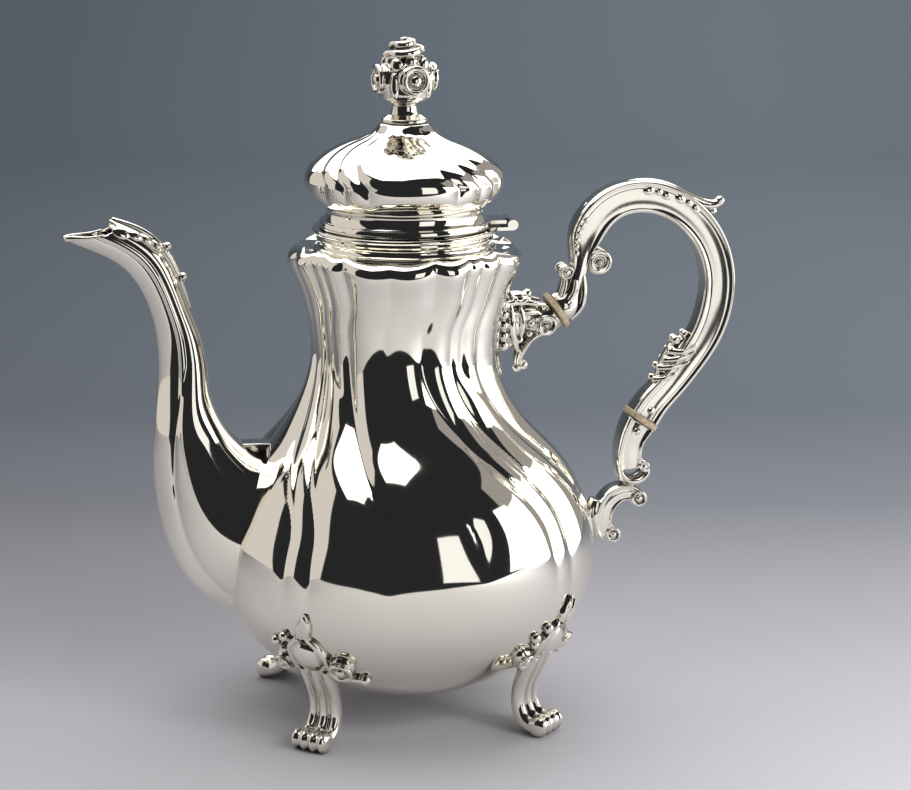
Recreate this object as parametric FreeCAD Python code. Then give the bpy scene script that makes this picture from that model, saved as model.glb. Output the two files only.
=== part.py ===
import FreeCAD, Part
import math
import os
from FreeCAD import Matrix, Placement, Rotation, Vector

# A silver coffee pot on four scroll feet with a hinged lid, all sizes in millimetres.
# Origin on the floor under the pot axis, +X towards the handle, -X towards the spout, +Z up.

# Clearances
SOLDER_GAP = 0.05
LID_CLEARANCE = 0.3
BEZEL_CLEARANCE = 0.6
PIN_RUNNING_CLEARANCE = 0.05
PIN_FIXED_CLEARANCE = 0.01
KNUCKLE_SIDE_CLEARANCE = 0.2
TENON_CLEARANCE = 0.1
STUD_CLEARANCE = 0.1

# Walls
BODY_WALL = 1.0
SPOUT_WALL = 0.9
LID_WALL = 1.0

# Body
BODY_BOTTOM = 14.0
BODY_TOP = 180.8
BODY_OUTLINE = [
    (BODY_BOTTOM, 31.0), (17.0, 39.0), (20.5, 46.0), (24.0, 51.6), (30.0, 58.4), (38.0, 64.6),
    (48.0, 70.0), (60.0, 72.8), (72.0, 72.8), (84.0, 69.4), (96.0, 63.2), (106.0, 55.4),
    (114.0, 48.0), (122.0, 42.4), (130.0, 38.9), (138.0, 37.1), (146.0, 36.9), (154.0, 37.8),
    (162.0, 39.6), (169.0, 42.1), (173.6, 44.3), (176.8, 45.1), (179.2, 44.2), (BODY_TOP, 42.0),
]
FLUTE_DEPTH = 2.2
FLUTE_WIDTH = 2.6
FLUTE_TURN_TOP = 145.0
FLUTE_TURN_BOTTOM = 80.0
FLUTE_RIM_SHIFT = 5.0
FLUTE_RIM_SHIFT_START = 152.0
FLUTE_RIM_SHIFT_END = 166.0
# Each flute: angle at the neck, turn down to the belly, height where it ends, height where it is full
FLUTES = [(-139.5, 33.0, 72.0, 105.0), (-91.0, 41.0, 48.0, 88.0), (-71.5, 30.0, 44.0, 84.0)]
# The fourth flute of each quarter closes a narrow lobe to a point at the foot of the neck
POINTED_FLUTE_ANGLE = -153.5
POINTED_FLUTE_TIP = 119.0
POINTED_FLUTE_FULL = 140.0
# A short flute in the middle of each wide lobe on the belly
SHORT_FLUTE_ANGLE = -121.0
SHORT_FLUTE_CENTRE = 89.0
SHORT_FLUTE_HALF_LENGTH = 13.0
BODY_SECTION_POINTS = 144
# The body is raised in three pieces that are soldered at level seams
BASE_SEAM = 24.0
NECK_SEAM = 118.0

# Pierced wall behind the spout
STRAINER_HOLE_RADIUS = 2.5
STRAINER_HOLE_PITCH = 10.0
STRAINER_CENTRE_HEIGHT = 74.0
STRAINER_COLUMNS = 3
STRAINER_ROWS = 4

# Collar
COLLAR_TOP = 188.9
COLLAR_MOUTH_RADIUS = 29.0
COLLAR_FOOT_RADIUS = 34.4
COLLAR_WAIST_RADIUS = 32.7
COLLAR_BEAD_RADIUS = 33.4
COLLAR_LIP_RADIUS = 34.9
COLLAR_LIP_HEIGHT = 1.5

# Lid
LID_BOTTOM = COLLAR_TOP + LID_CLEARANCE
LID_RIM_RADIUS = 32.4
LID_RIM_HEIGHT = 2.6
LID_WAIST_RADIUS = 29.9
LID_DOME_BOTTOM = 196.5
LID_DOME_TOP = 228.0
LID_OUTLINE = [
    (LID_DOME_BOTTOM, LID_WAIST_RADIUS), (199.5, 33.3), (203.5, 36.8), (207.5, 37.7), (210.5, 36.9),
    (214.0, 33.9), (218.0, 28.2), (221.5, 20.4), (224.5, 13.4), (LID_DOME_TOP, 9.4),
]
LID_FLUTE_DEPTH = 1.7
LID_FLUTE_WIDTH = 2.0
LID_FLUTE_ANGLES = [-130.0, -72.0, -54.0]
LID_FLUTE_TURN = -28.0
LID_SECTION_POINTS = 120
BEZEL_DEPTH = 6.0
BEZEL_WALL = 0.9

# Finial
PLINTH_RADIUS = 8.85
PLINTH_HEIGHT = 3.2
PLINTH_NECK_RADIUS = 6.4
STEM_RADIUS = 5.1
KNOB_BOTTOM = 236.4
KNOB_TOP = 259.2
KNOB_SCROLL_RADIUS = 5.2
KNOB_SCROLL_HEIGHT = 242.6
KNOB_SCROLL_REACH = 11.0
KNOB_SCROLL_EYE_RADIUS = 2.3
KNOB_SCROLL_ANGLE = -80.0
KNOB_BERRY_RADIUS = 1.7
STUD_RADIUS = 2.0
STUD_LENGTH_IN_KNOB = 8.0
STUD_LENGTH_IN_LID = 6.0
NUT_ACROSS_CORNERS = 8.0
NUT_HEIGHT = 2.8
WASHER_RADIUS = 5.4
WASHER_HEIGHT = 1.0

# Hinge
HINGE_X = 40.4
HINGE_Z = 188.9
HINGE_WIDTH = 13.0
HINGE_BARREL_RADIUS = 2.0
HINGE_PIN_RADIUS = 0.8
HINGE_MIDDLE_WIDTH = 5.0
HINGE_LEAF_THICKNESS = 1.3
HINGE_LEAF_CLEARANCE = 0.6

# Spout: outer point, inner point (each x, z) and half width of every section
SPOUT_SECTIONS = [
    ((-58.0, 35.0), (-45.0, 104.0), 27.0), ((-72.0, 44.6), (-56.5, 104.6), 26.0),
    ((-84.1, 55.3), (-65.0, 110.8), 22.5), ((-92.0, 70.5), (-70.3, 117.8), 18.5),
    ((-95.6, 87.0), (-73.2, 124.0), 15.0), ((-96.9, 105.0), (-75.0, 131.0), 12.4),
    ((-95.6, 121.0), (-75.5, 138.0), 10.5), ((-94.3, 137.0), (-76.6, 145.3), 9.2),
    ((-94.6, 151.0), (-78.6, 152.6), 8.4), ((-97.0, 161.5), (-81.8, 161.0), 8.0),
    ((-100.6, 169.7), (-85.6, 171.6), 7.8), ((-107.0, 177.6), (-91.0, 182.4), 7.6),
    ((-117.0, 183.4), (-99.5, 190.2), 7.4), ((-128.0, 188.2), (-110.3, 195.4), 6.8),
]
SPOUT_FLUTE_DEPTH = 0.07
SPOUT_FLUTE_WIDTH = 0.16
SPOUT_FLUTE_ANGLES = [-130.0, -56.0, 56.0, 130.0]
SPOUT_SECTION_POINTS = 60
SPOUT_LEAF_HALF_WIDTH = 3.6
SPOUT_LEAF_HEIGHT = 1.6
SPOUT_TAB_HALF_WIDTH = 3.0
SPOUT_BEAD_RADIUS = 1.3

# Handle grip centre line (x, z) from the upper to the lower insulator, with half width and half depth
GRIP_LINE = [
    (65.2, 161.4, 5.4, 5.3), (67.0, 166.4, 5.2, 5.0), (68.6, 173.4, 5.4, 5.0),
    (70.6, 181.5, 6.2, 5.2), (74.4, 190.2, 6.4, 5.3), (81.8, 195.8, 6.3, 5.3),
    (91.8, 197.6, 6.3, 5.3), (101.7, 195.6, 6.3, 5.3), (110.9, 190.0, 6.3, 5.3),
    (118.2, 181.5, 6.3, 5.3), (122.4, 171.6, 6.3, 5.3), (123.6, 162.4, 6.3, 5.3),
    (122.4, 152.6, 6.3, 5.3), (118.8, 142.6, 6.1, 5.2), (112.6, 132.8, 5.8, 5.1),
    (105.0, 123.2, 5.5, 5.1),
]
GRIP_SECTION_POWER = 3.0
GRIP_VOLUTE_CENTRE = (75.4, 173.3)
GRIP_VOLUTE_RADIUS = 4.9
GRIP_VOLUTE_HALF_DEPTH = 4.4
GRIP_VOLUTE_EYE_RADIUS = 1.8
GRIP_CAP_CENTRE = (62.4, 169.4)
GRIP_CAP_RADIUS = 2.5
GRIP_LEAF_HALF_DEPTH = 3.4
GRIP_SPUR_TIP = (124.4, 194.4)
GRIP_BEAD_RADIUS = 1.5

# Insulators: a disc with a tenon on each side, pinned through
INSULATOR_RADIUS = 7.7
INSULATOR_THICKNESS = 2.4
TENON_RADIUS = 2.9
TENON_LENGTH = 6.0
TENON_PIN_RADIUS = 0.8
TENON_PIN_SETBACK = 3.6
UPPER_INSULATOR_CENTRE = (59.2, 154.3)
UPPER_INSULATOR_AXIS = (0.824, 0.566)
LOWER_INSULATOR_CENTRE = (93.8, 109.9)
LOWER_INSULATOR_AXIS = (0.576, 0.818)
SOCKET_END_RADIUS = 6.0

# Sockets
UPPER_SOCKET_LINE = [(31.0, 150.0, 12.5, 8.5), (38.5, 150.6, 11.5, 8.0), (46.0, 152.0, 8.6, 7.2)]
UPPER_SOCKET_TAIL = [(47.5, 147.0), (46.6, 141.0), (44.6, 136.0), (43.6, 132.6)]
UPPER_SOCKET_VOLUTE_CENTRE = (53.4, 149.0)
UPPER_SOCKET_VOLUTE_RADIUS = 3.8
UPPER_SOCKET_TAIL_RADIUS = 2.2
LOWER_SOCKET_LINE = [
    (89.2, 99.6, 4.7, 4.9), (88.6, 93.4, 4.0, 4.6), (90.4, 88.4, 3.3, 4.3), (95.0, 86.9, 2.5, 4.1),
]
LOWER_SOCKET_CURL_CENTRE = (96.2, 88.4)
LOWER_SCROLL_LINE = [
    (81.8, 63.2, 2.0, 3.9), (78.8, 66.4, 2.9, 4.0), (78.4, 72.4, 3.3, 4.2), (81.2, 78.2, 3.3, 4.3),
    (86.6, 81.8, 3.1, 4.3), (93.6, 80.6, 2.4, 4.1),
]
LOWER_SCROLL_CURL_CENTRE = (94.4, 78.8)
LOWER_SCROLL_TAIL_CENTRE = (82.4, 63.6)
LOWER_SOCKET_CURL_RADIUS = 2.7
LOWER_PAD_HEIGHT = 74.0
LOWER_PAD_RADIUS = 4.6

# Feet: leg line as radius, height, half thickness, half width
FOOT_ANGLES = {
    "foot_front_spout": -135.0, "foot_front_handle": -45.0,
    "foot_rear_handle": 45.0, "foot_rear_spout": 135.0,
}
LEG_LINE = [
    (60.4, 32.0, 2.4, 5.6), (57.4, 25.6, 2.4, 5.4), (54.8, 19.0, 2.2, 5.3), (54.2, 12.0, 2.2, 5.5),
    (56.6, 6.2, 2.3, 5.9), (62.0, 3.3, 2.4, 6.4),
]
TOE_RADIUS = 4.4
TOE_CENTRE_RADIUS = 63.6
TOE_HALF_WIDTH = 6.6
TOE_FLAT = 0.4
# Pieces of the foot on the belly: distance across, height, half thickness, half width of each station
MOUNT_LEAF = [
    (0.0, 26.5, 2.4, 5.2), (0.0, 32.5, 2.9, 7.0), (0.3, 40.0, 2.9, 6.4),
    (1.4, 48.0, 2.4, 4.0), (3.0, 55.0, 1.6, 2.0),
]
SCROLL_ARM = [
    (1.5, 30.4, 2.6, 3.0), (7.0, 30.6, 2.5, 3.0), (13.0, 30.6, 2.2, 2.4), (18.6, 29.4, 1.5, 1.3),
]
LEAF_ARM = [
    (-1.5, 31.4, 2.5, 3.2), (-6.5, 32.0, 2.5, 3.0), (-11.0, 33.6, 2.3, 2.6), (-15.0, 36.4, 2.0, 2.2),
]
BOSS_HEIGHT = 37.0
BOSS_HALF_WIDTH = 6.0
BOSS_HALF_LENGTH = 7.6
BOSS_HALF_THICKNESS = 4.4
# Rolled scrolls beside the boss: distance across, height, radius, thickness
SIDE_SCROLLS = [(12.4, 34.4, 4.4, 3.8), (-13.2, 33.6, 3.6, 3.4)]
BERRY_RADIUS = 2.5
# Berries above the second scroll: distance across and height
BERRIES = [(-7.6, 42.4), (-10.2, 39.2), (-12.8, 42.4), (18.8, 29.2)]

AXIS_Y = Vector(0, 1, 0)
AXIS_Z = Vector(0, 0, 1)


def ease(value):
    """Smooth step from 0 to 1."""
    value = min(max(value, 0.0), 1.0)
    return value * value * (3.0 - 2.0 * value)


def crease(arc, width):
    """Depth of a flute at a distance along the wall: 1 in its middle, 0 far away."""
    return math.exp(1.0 - math.sqrt(1.0 + (arc / width) ** 2))


def angle_between(first, second):
    """Signed difference of two angles in degrees, from -180 to 180."""
    return (first - second + 180.0) % 360.0 - 180.0


def body_flutes(angle, z, radius):
    """Depth of all body flutes at one place on the wall."""
    turn = ease((FLUTE_TURN_TOP - z) / (FLUTE_TURN_TOP - FLUTE_TURN_BOTTOM))
    rim_share = (z - FLUTE_RIM_SHIFT_START) / (FLUTE_RIM_SHIFT_END - FLUTE_RIM_SHIFT_START)
    shift = FLUTE_RIM_SHIFT * ease(rim_share)
    lines = []
    for start, sweep, low, high in FLUTES:
        lines.append((start + sweep * turn + shift, ease((z - low) / (high - low))))
    closing = ease((z - POINTED_FLUTE_TIP) / (POINTED_FLUTE_FULL - POINTED_FLUTE_TIP))
    edge = lines[0][0]
    lines.append((edge + (POINTED_FLUTE_ANGLE - FLUTES[0][0]) * closing, closing))
    nearness = 1.0 - abs(z - SHORT_FLUTE_CENTRE) / SHORT_FLUTE_HALF_LENGTH
    lines.append((SHORT_FLUTE_ANGLE + FLUTES[1][1] * turn, ease(nearness)))
    depth = 0.0
    for line, strength in lines:
        for quarter in range(4):
            arc = math.radians(angle_between(angle, line + 90.0 * quarter)) * radius
            depth += strength * crease(arc, FLUTE_WIDTH)
    return FLUTE_DEPTH * depth


def lid_flutes(angle, z, radius):
    """Depth of all lid flutes at one place on the dome."""
    turn = LID_FLUTE_TURN * ease((z - 207.0) / 13.0)
    strength = ease((z - 199.0) / 7.0) * ease((LID_DOME_TOP - z) / 8.0)
    depth = 0.0
    for start in LID_FLUTE_ANGLES:
        for quarter in range(4):
            arc = math.radians(angle_between(angle, start + turn + 90.0 * quarter)) * radius
            depth += strength * crease(arc, LID_FLUTE_WIDTH)
    return LID_FLUTE_DEPTH * depth


def closed_curve(points):
    """Closed smooth curve through points that are numbered evenly."""
    curve = Part.BSplineCurve()
    numbers = [float(number) for number in range(len(points) + 1)]
    curve.interpolate(Points=points, PeriodicFlag=True, Parameters=numbers)
    return curve


def loft(rows):
    """Solid with a smooth skin through rows of points and a flat cap on the first and last row."""
    stations = [0.0]
    for row, following in zip(rows, rows[1:]):
        steps = [(after - before).Length for before, after in zip(row, following)]
        stations.append(stations[-1] + sum(steps) / len(steps))
    lengthwise = []
    for column in zip(*rows):
        curve = Part.BSplineCurve()
        curve.interpolate(Points=list(column), Parameters=stations)
        lengthwise.append(curve)
    rings = [closed_curve(list(poles)) for poles in zip(*[curve.getPoles() for curve in lengthwise])]
    poles = [list(row) for row in zip(*[ring.getPoles() for ring in rings])]
    skin = Part.BSplineSurface()
    skin.buildFromPolesMultsKnots(
        poles, rings[0].getMultiplicities(), lengthwise[0].getMultiplicities(),
        rings[0].getKnots(), lengthwise[0].getKnots(), True, False, 3, lengthwise[0].Degree)
    side = skin.toShape()
    faces = [side]
    for edge in side.Edges:
        if edge.isClosed():
            faces.append(Part.Face(Part.Wire([edge])))
    shell = Part.makeShell(faces)
    shell.sewShape()
    solid = Part.makeSolid(shell)
    if solid.Volume < 0:
        solid.reverse()
    return solid


def offset_outline(outline, inset):
    """Outline moved inwards along its own normals."""
    moved = []
    for index, (z, radius) in enumerate(outline):
        z_before, r_before = outline[max(index - 1, 0)]
        z_after, r_after = outline[min(index + 1, len(outline) - 1)]
        along_z = z_after - z_before
        along_r = r_after - r_before
        length = math.hypot(along_z, along_r)
        moved.append((z + inset * along_r / length, radius - inset * along_z / length))
    return moved


def fluted_solid(outline, flutes, count, inset=0.0):
    """Closed solid of an upright fluted vessel, inset by a wall or grown by a negative inset."""
    rows = []
    for (z, radius), (section_z, section_r) in zip(outline, offset_outline(outline, inset)):
        points = []
        for step in range(count):
            angle = 360.0 * step / count
            reach = section_r - flutes(angle, z, radius)
            turn = math.radians(angle)
            points.append(Vector(reach * math.cos(turn), reach * math.sin(turn), section_z))
        rows.append(points)
    return loft(rows)


def turned(outline):
    """Solid of revolution about the pot axis from (radius, z) corners; a third entry marks an arc point."""
    edges = []
    start = Vector(outline[0][0], 0, outline[0][1])
    first = start
    through = None
    for corner in list(outline[1:]) + [outline[0]]:
        point = Vector(corner[0], 0, corner[1])
        if len(corner) == 3:
            through = point
            continue
        if through is None:
            edges.append(Part.makeLine(start, point))
        else:
            edges.append(Part.Arc(start, through, point).toShape())
            through = None
        start = point
    face = Part.Face(Part.Wire(edges))
    return face.revolve(Vector(0, 0, 0), AXIS_Z, 360)


def rounded_section(centre, across, upward, half_width, half_height, power=2.0, count=24):
    """Points of a rounded outline; a power above 2 squares its corners."""
    points = []
    for step in range(count):
        turn = 2.0 * math.pi * step / count
        cosine = math.cos(turn)
        sine = math.sin(turn)
        x = math.copysign(abs(cosine) ** (2.0 / power), cosine) * half_width
        y = math.copysign(abs(sine) ** (2.0 / power), sine) * half_height
        points.append(centre + across * x + upward * y)
    return points


def unit(vector):
    """Copy of a vector with length one."""
    return vector * (1.0 / vector.Length)


def swept(points, heights, widths, ups=None, power=2.0):
    """Loft along points: heights along the up direction, widths across; a flat line in XZ needs no ups."""
    rows = []
    for index, point in enumerate(points):
        before = points[max(index - 1, 0)]
        after = points[min(index + 1, len(points) - 1)]
        tangent = unit(after - before)
        if ups is None:
            across = AXIS_Y
        else:
            across = unit(tangent.cross(ups[index]))
        upward = unit(across.cross(tangent))
        rows.append(rounded_section(point, across, upward, widths[index], heights[index], power))
    return loft(rows)


def limb(line, power=2.0):
    """Sweep along (x, z, half width in the plane, half depth across it)."""
    points = [Vector(entry[0], 0, entry[1]) for entry in line]
    return swept(points, [entry[2] for entry in line], [entry[3] for entry in line], None, power)


def drum(centre, radius, half_depth):
    """Short cylinder lying along Y, centred at (x, z)."""
    return Part.makeCylinder(radius, 2.0 * half_depth, Vector(centre[0], -half_depth, centre[1]), AXIS_Y)


def curl(centre, radius, half_depth, eye_radius):
    """Rolled scroll end: a drum with a smaller raised eye on both faces."""
    return drum(centre, radius, half_depth).fuse(drum(centre, eye_radius, half_depth + 0.6))


def ball(centre, radius):
    """Bead at an (x, z) place in the middle plane or at a full vector."""
    if not isinstance(centre, Vector):
        centre = Vector(centre[0], 0, centre[1])
    return Part.makeSphere(radius, centre)


def ellipsoid(centre, axes, radii):
    """Ellipsoid with its own three directions."""
    first, second, third = [axis * size for axis, size in zip(axes, radii)]
    matrix = Matrix(
        first.x, second.x, third.x, centre.x,
        first.y, second.y, third.y, centre.y,
        first.z, second.z, third.z, centre.z,
        0, 0, 0, 1)
    return Part.makeSphere(1.0).transformGeometry(matrix)


def joined(pieces):
    """One solid from overlapping pieces, added one by one."""
    solid = pieces[0]
    for piece in pieces[1:]:
        solid = solid.fuse(piece)
    return solid


def largest(shape):
    """The biggest solid of a shape that a cut has left in several pieces."""
    return max(shape.Solids, key=lambda solid: solid.Volume)


def outline_radius(outline, z):
    """Radius of an outline at a height, straight between its points."""
    for (z_low, r_low), (z_high, r_high) in zip(outline, outline[1:]):
        if z_low <= z <= z_high:
            return r_low + (r_high - r_low) * (z - z_low) / (z_high - z_low)
    return outline[-1][1]


parts = {}

# Body: base, belly and neck
body_outside = fluted_solid(BODY_OUTLINE, body_flutes, BODY_SECTION_POINTS)
body_inside = fluted_solid(BODY_OUTLINE, body_flutes, BODY_SECTION_POINTS, BODY_WALL)
body_seat = fluted_solid(BODY_OUTLINE, body_flutes, BODY_SECTION_POINTS, -SOLDER_GAP)
room_height = BODY_TOP - BODY_BOTTOM - 2.0 * BODY_WALL
body_room = body_inside.common(
    Part.makeBox(200, 200, room_height, Vector(-100, -100, BODY_BOTTOM + BODY_WALL)))
mouth_cut = Part.makeCylinder(COLLAR_MOUTH_RADIUS, 20.0, Vector(0, 0, BODY_TOP - 10.0))
strainer_holes = []
for column in range(STRAINER_COLUMNS):
    for row in range(STRAINER_ROWS):
        hole_y = (column - (STRAINER_COLUMNS - 1) / 2.0) * STRAINER_HOLE_PITCH
        hole_z = STRAINER_CENTRE_HEIGHT + (row - (STRAINER_ROWS - 1) / 2.0) * STRAINER_HOLE_PITCH
        strainer_holes.append(
            Part.makeCylinder(STRAINER_HOLE_RADIUS, 50.0, Vector(-90.0, hole_y, hole_z), Vector(1, 0, 0)))
body_wall = body_outside.cut(body_room).cut(mouth_cut).cut(Part.makeCompound(strainer_holes))
for name, low, high in (
        ("body_base", BODY_BOTTOM, BASE_SEAM),
        ("body_belly", BASE_SEAM + SOLDER_GAP, NECK_SEAM),
        ("body_neck", NECK_SEAM + SOLDER_GAP, BODY_TOP)):
    parts[name] = body_wall.common(Part.makeBox(200, 200, high - low, Vector(-100, -100, low)))

# Collar with its turned steps, standing on the flat shoulder of the body
collar_foot = BODY_TOP + SOLDER_GAP
lip_bottom = COLLAR_TOP - COLLAR_LIP_HEIGHT
parts["neck_collar"] = turned([
    (COLLAR_MOUTH_RADIUS, collar_foot),
    (COLLAR_FOOT_RADIUS, collar_foot),
    (COLLAR_FOOT_RADIUS, collar_foot + 0.8),
    (COLLAR_WAIST_RADIUS + 0.7, collar_foot + 1.4, "arc"),
    (COLLAR_WAIST_RADIUS, collar_foot + 2.6),
    (COLLAR_WAIST_RADIUS, collar_foot + 3.1),
    (COLLAR_BEAD_RADIUS, collar_foot + 4.1, "arc"),
    (COLLAR_WAIST_RADIUS, collar_foot + 5.1),
    (COLLAR_WAIST_RADIUS, lip_bottom - 0.3),
    (COLLAR_LIP_RADIUS - 0.3, lip_bottom),
    (COLLAR_LIP_RADIUS, lip_bottom + COLLAR_LIP_HEIGHT / 2.0, "arc"),
    (COLLAR_LIP_RADIUS - 0.4, COLLAR_TOP),
    (COLLAR_MOUTH_RADIUS, COLLAR_TOP),
])

# Spout, hollow, with its foot cut to the belly
def spout_section(outer, inner, half_width, inset):
    """Points of one fluted section across the spout."""
    outer_point = Vector(outer[0], 0, outer[1])
    inner_point = Vector(inner[0], 0, inner[1])
    centre = (outer_point + inner_point) * 0.5
    half_length = (outer_point - inner_point).Length / 2.0
    outward = unit(outer_point - inner_point)
    points = []
    for step in range(SPOUT_SECTION_POINTS):
        angle = 360.0 * step / SPOUT_SECTION_POINTS
        depth = 0.0
        for line in SPOUT_FLUTE_ANGLES:
            depth += crease(math.radians(angle_between(angle, line)), SPOUT_FLUTE_WIDTH)
        scale = 1.0 - SPOUT_FLUTE_DEPTH * depth
        turn = math.radians(angle)
        x = (half_length - inset) * scale * math.cos(turn)
        y = (half_width - inset) * scale * math.sin(turn)
        points.append(centre + outward * x + AXIS_Y * y)
    return points


spout_outside = loft([spout_section(a, b, width, 0.0) for a, b, width in SPOUT_SECTIONS])
spout_inside = loft([spout_section(a, b, width, SPOUT_WALL) for a, b, width in SPOUT_SECTIONS])
spout_back = [Vector(inner[0], 0, inner[1]) for outer, inner, width in SPOUT_SECTIONS]
leaf_points = [spout_back[13], spout_back[12], spout_back[11], spout_back[10], spout_back[9]]
leaf = swept(leaf_points, [0.6, SPOUT_LEAF_HEIGHT, SPOUT_LEAF_HEIGHT, 1.3, 0.5],
             [3.0, SPOUT_LEAF_HALF_WIDTH, SPOUT_LEAF_HALF_WIDTH, 2.6, 1.0])
tab = Part.makeBox(11.0, 2.0 * SPOUT_TAB_HALF_WIDTH, 5.0, Vector(-64.0, -SPOUT_TAB_HALF_WIDTH, 102.6))
beads = [ball((spout_back[11].x + 0.9, spout_back[11].z + 1.7), SPOUT_BEAD_RADIUS),
         ball((spout_back[10].x + 1.0, spout_back[10].z + 0.9), SPOUT_BEAD_RADIUS)]
spout_solid = joined([spout_outside, leaf, tab] + beads)
parts["spout"] = largest(spout_solid.cut(spout_inside).cut(body_seat))

# Lid: swirled dome on a turned rim with a bezel inside the collar
dome_outside = fluted_solid(LID_OUTLINE, lid_flutes, LID_SECTION_POINTS)
dome_inside = fluted_solid(LID_OUTLINE, lid_flutes, LID_SECTION_POINTS, LID_WALL)
dome_room = dome_inside.common(
    Part.makeBox(200, 200, LID_DOME_TOP - LID_DOME_BOTTOM - LID_WALL, Vector(-100, -100, LID_DOME_BOTTOM)))
bezel_radius = COLLAR_MOUTH_RADIUS - BEZEL_CLEARANCE
rim_bore = bezel_radius + SOLDER_GAP
dome_bore = Part.makeCylinder(LID_WAIST_RADIUS - LID_WALL, 4.0, Vector(0, 0, LID_DOME_BOTTOM - 1.0))
stud_hole = Part.makeCylinder(STUD_RADIUS + STUD_CLEARANCE, 40.0, Vector(0, 0, LID_DOME_TOP - 20.0))
parts["lid_dome"] = dome_outside.cut(dome_room).cut(dome_bore).cut(stud_hole)
rim_top = LID_BOTTOM + LID_RIM_HEIGHT
dome_seat = LID_DOME_BOTTOM - SOLDER_GAP
parts["lid_rim"] = turned([
    (rim_bore, LID_BOTTOM),
    (LID_RIM_RADIUS - 0.5, LID_BOTTOM),
    (LID_RIM_RADIUS, LID_BOTTOM + 0.6),
    (LID_RIM_RADIUS, rim_top - 0.6),
    (LID_RIM_RADIUS - 0.6, rim_top),
    (LID_WAIST_RADIUS + 0.9, rim_top + 0.2),
    (LID_WAIST_RADIUS - 0.2, (rim_top + dome_seat) / 2.0, "arc"),
    (LID_WAIST_RADIUS, dome_seat),
    (rim_bore, dome_seat),
])
parts["lid_bezel"] = turned([
    (bezel_radius - BEZEL_WALL, LID_BOTTOM - BEZEL_DEPTH),
    (bezel_radius, LID_BOTTOM - BEZEL_DEPTH),
    (bezel_radius, dome_seat),
    (bezel_radius - BEZEL_WALL, dome_seat),
])

# Finial: plinth, cast knob, stud, washer and nut
plinth_bottom = LID_DOME_TOP + SOLDER_GAP
plinth_top = plinth_bottom + PLINTH_HEIGHT
stud_bore = STUD_RADIUS + STUD_CLEARANCE
parts["finial_plinth"] = turned([
    (stud_bore, plinth_bottom),
    (PLINTH_RADIUS - 0.7, plinth_bottom),
    (PLINTH_RADIUS, plinth_bottom + 1.0, "arc"),
    (PLINTH_RADIUS - 0.7, plinth_bottom + 2.0),
    (PLINTH_NECK_RADIUS, plinth_top),
    (stud_bore, plinth_top),
])
stem_bottom = plinth_top + SOLDER_GAP
knob_core = turned([
    (0.0, stem_bottom),
    (STEM_RADIUS + 0.4, stem_bottom),
    (STEM_RADIUS - 0.3, (stem_bottom + KNOB_BOTTOM) / 2.0, "arc"),
    (STEM_RADIUS + 0.3, KNOB_BOTTOM),
    (9.4, KNOB_BOTTOM + 1.6),
    (10.8, KNOB_BOTTOM + 6.4, "arc"),
    (9.2, KNOB_BOTTOM + 11.6),
    (9.4, KNOB_BOTTOM + 13.4, "arc"),
    (7.8, KNOB_BOTTOM + 15.2),
    (7.6, KNOB_BOTTOM + 17.0, "arc"),
    (5.8, KNOB_BOTTOM + 18.6),
    (5.4, KNOB_BOTTOM + 20.6, "arc"),
    (3.4, KNOB_TOP - 0.8),
    (0.0, KNOB_TOP),
])
knob_pieces = [knob_core]
for quarter in range(4):
    turn = math.radians(KNOB_SCROLL_ANGLE + 90.0 * quarter)
    outward = Vector(math.cos(turn), math.sin(turn), 0)
    root = outward * 6.0 + AXIS_Z * KNOB_SCROLL_HEIGHT
    knob_pieces.append(Part.makeCylinder(KNOB_SCROLL_RADIUS, KNOB_SCROLL_REACH - 6.7, root, outward))
    knob_pieces.append(Part.makeCylinder(KNOB_SCROLL_EYE_RADIUS, KNOB_SCROLL_REACH - 6.0, root, outward))
    berry_turn = math.radians(KNOB_SCROLL_ANGLE + 45.0 + 90.0 * quarter)
    berry_place = Vector(math.cos(berry_turn), math.sin(berry_turn), 0) * 3.4 + AXIS_Z * (KNOB_TOP - 1.6)
    knob_pieces.append(ball(berry_place, KNOB_BERRY_RADIUS))
knob_pieces.append(ball(Vector(0, 0, KNOB_TOP - 1.0), KNOB_BERRY_RADIUS + 0.1))
knob_bore = Part.makeCylinder(
    stud_bore, STUD_LENGTH_IN_KNOB + STUD_CLEARANCE, Vector(0, 0, stem_bottom))
parts["finial_knob"] = joined(knob_pieces).cut(knob_bore)
stud_top = stem_bottom + STUD_LENGTH_IN_KNOB
stud_bottom = LID_DOME_TOP - LID_WALL - STUD_LENGTH_IN_LID
parts["finial_stud"] = Part.makeCylinder(STUD_RADIUS, stud_top - stud_bottom, Vector(0, 0, stud_bottom))
washer_top = LID_DOME_TOP - LID_WALL - SOLDER_GAP
washer_bottom = washer_top - WASHER_HEIGHT
parts["finial_washer"] = turned([
    (stud_bore, washer_bottom),
    (WASHER_RADIUS, washer_bottom),
    (WASHER_RADIUS, washer_top),
    (stud_bore, washer_top),
])
nut_top = washer_bottom - SOLDER_GAP
nut_corners = []
for corner in range(7):
    turn = math.radians(60.0 * corner)
    reach = NUT_ACROSS_CORNERS / 2.0
    nut_corners.append(Vector(reach * math.cos(turn), reach * math.sin(turn), nut_top - NUT_HEIGHT))
nut_body = Part.Face(Part.makePolygon(nut_corners)).extrude(Vector(0, 0, NUT_HEIGHT))
nut_bore = Part.makeCylinder(
    STUD_RADIUS + PIN_FIXED_CLEARANCE, NUT_HEIGHT + 2.0, Vector(0, 0, nut_top - NUT_HEIGHT - 1.0))
parts["finial_nut"] = nut_body.cut(nut_bore)

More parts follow.
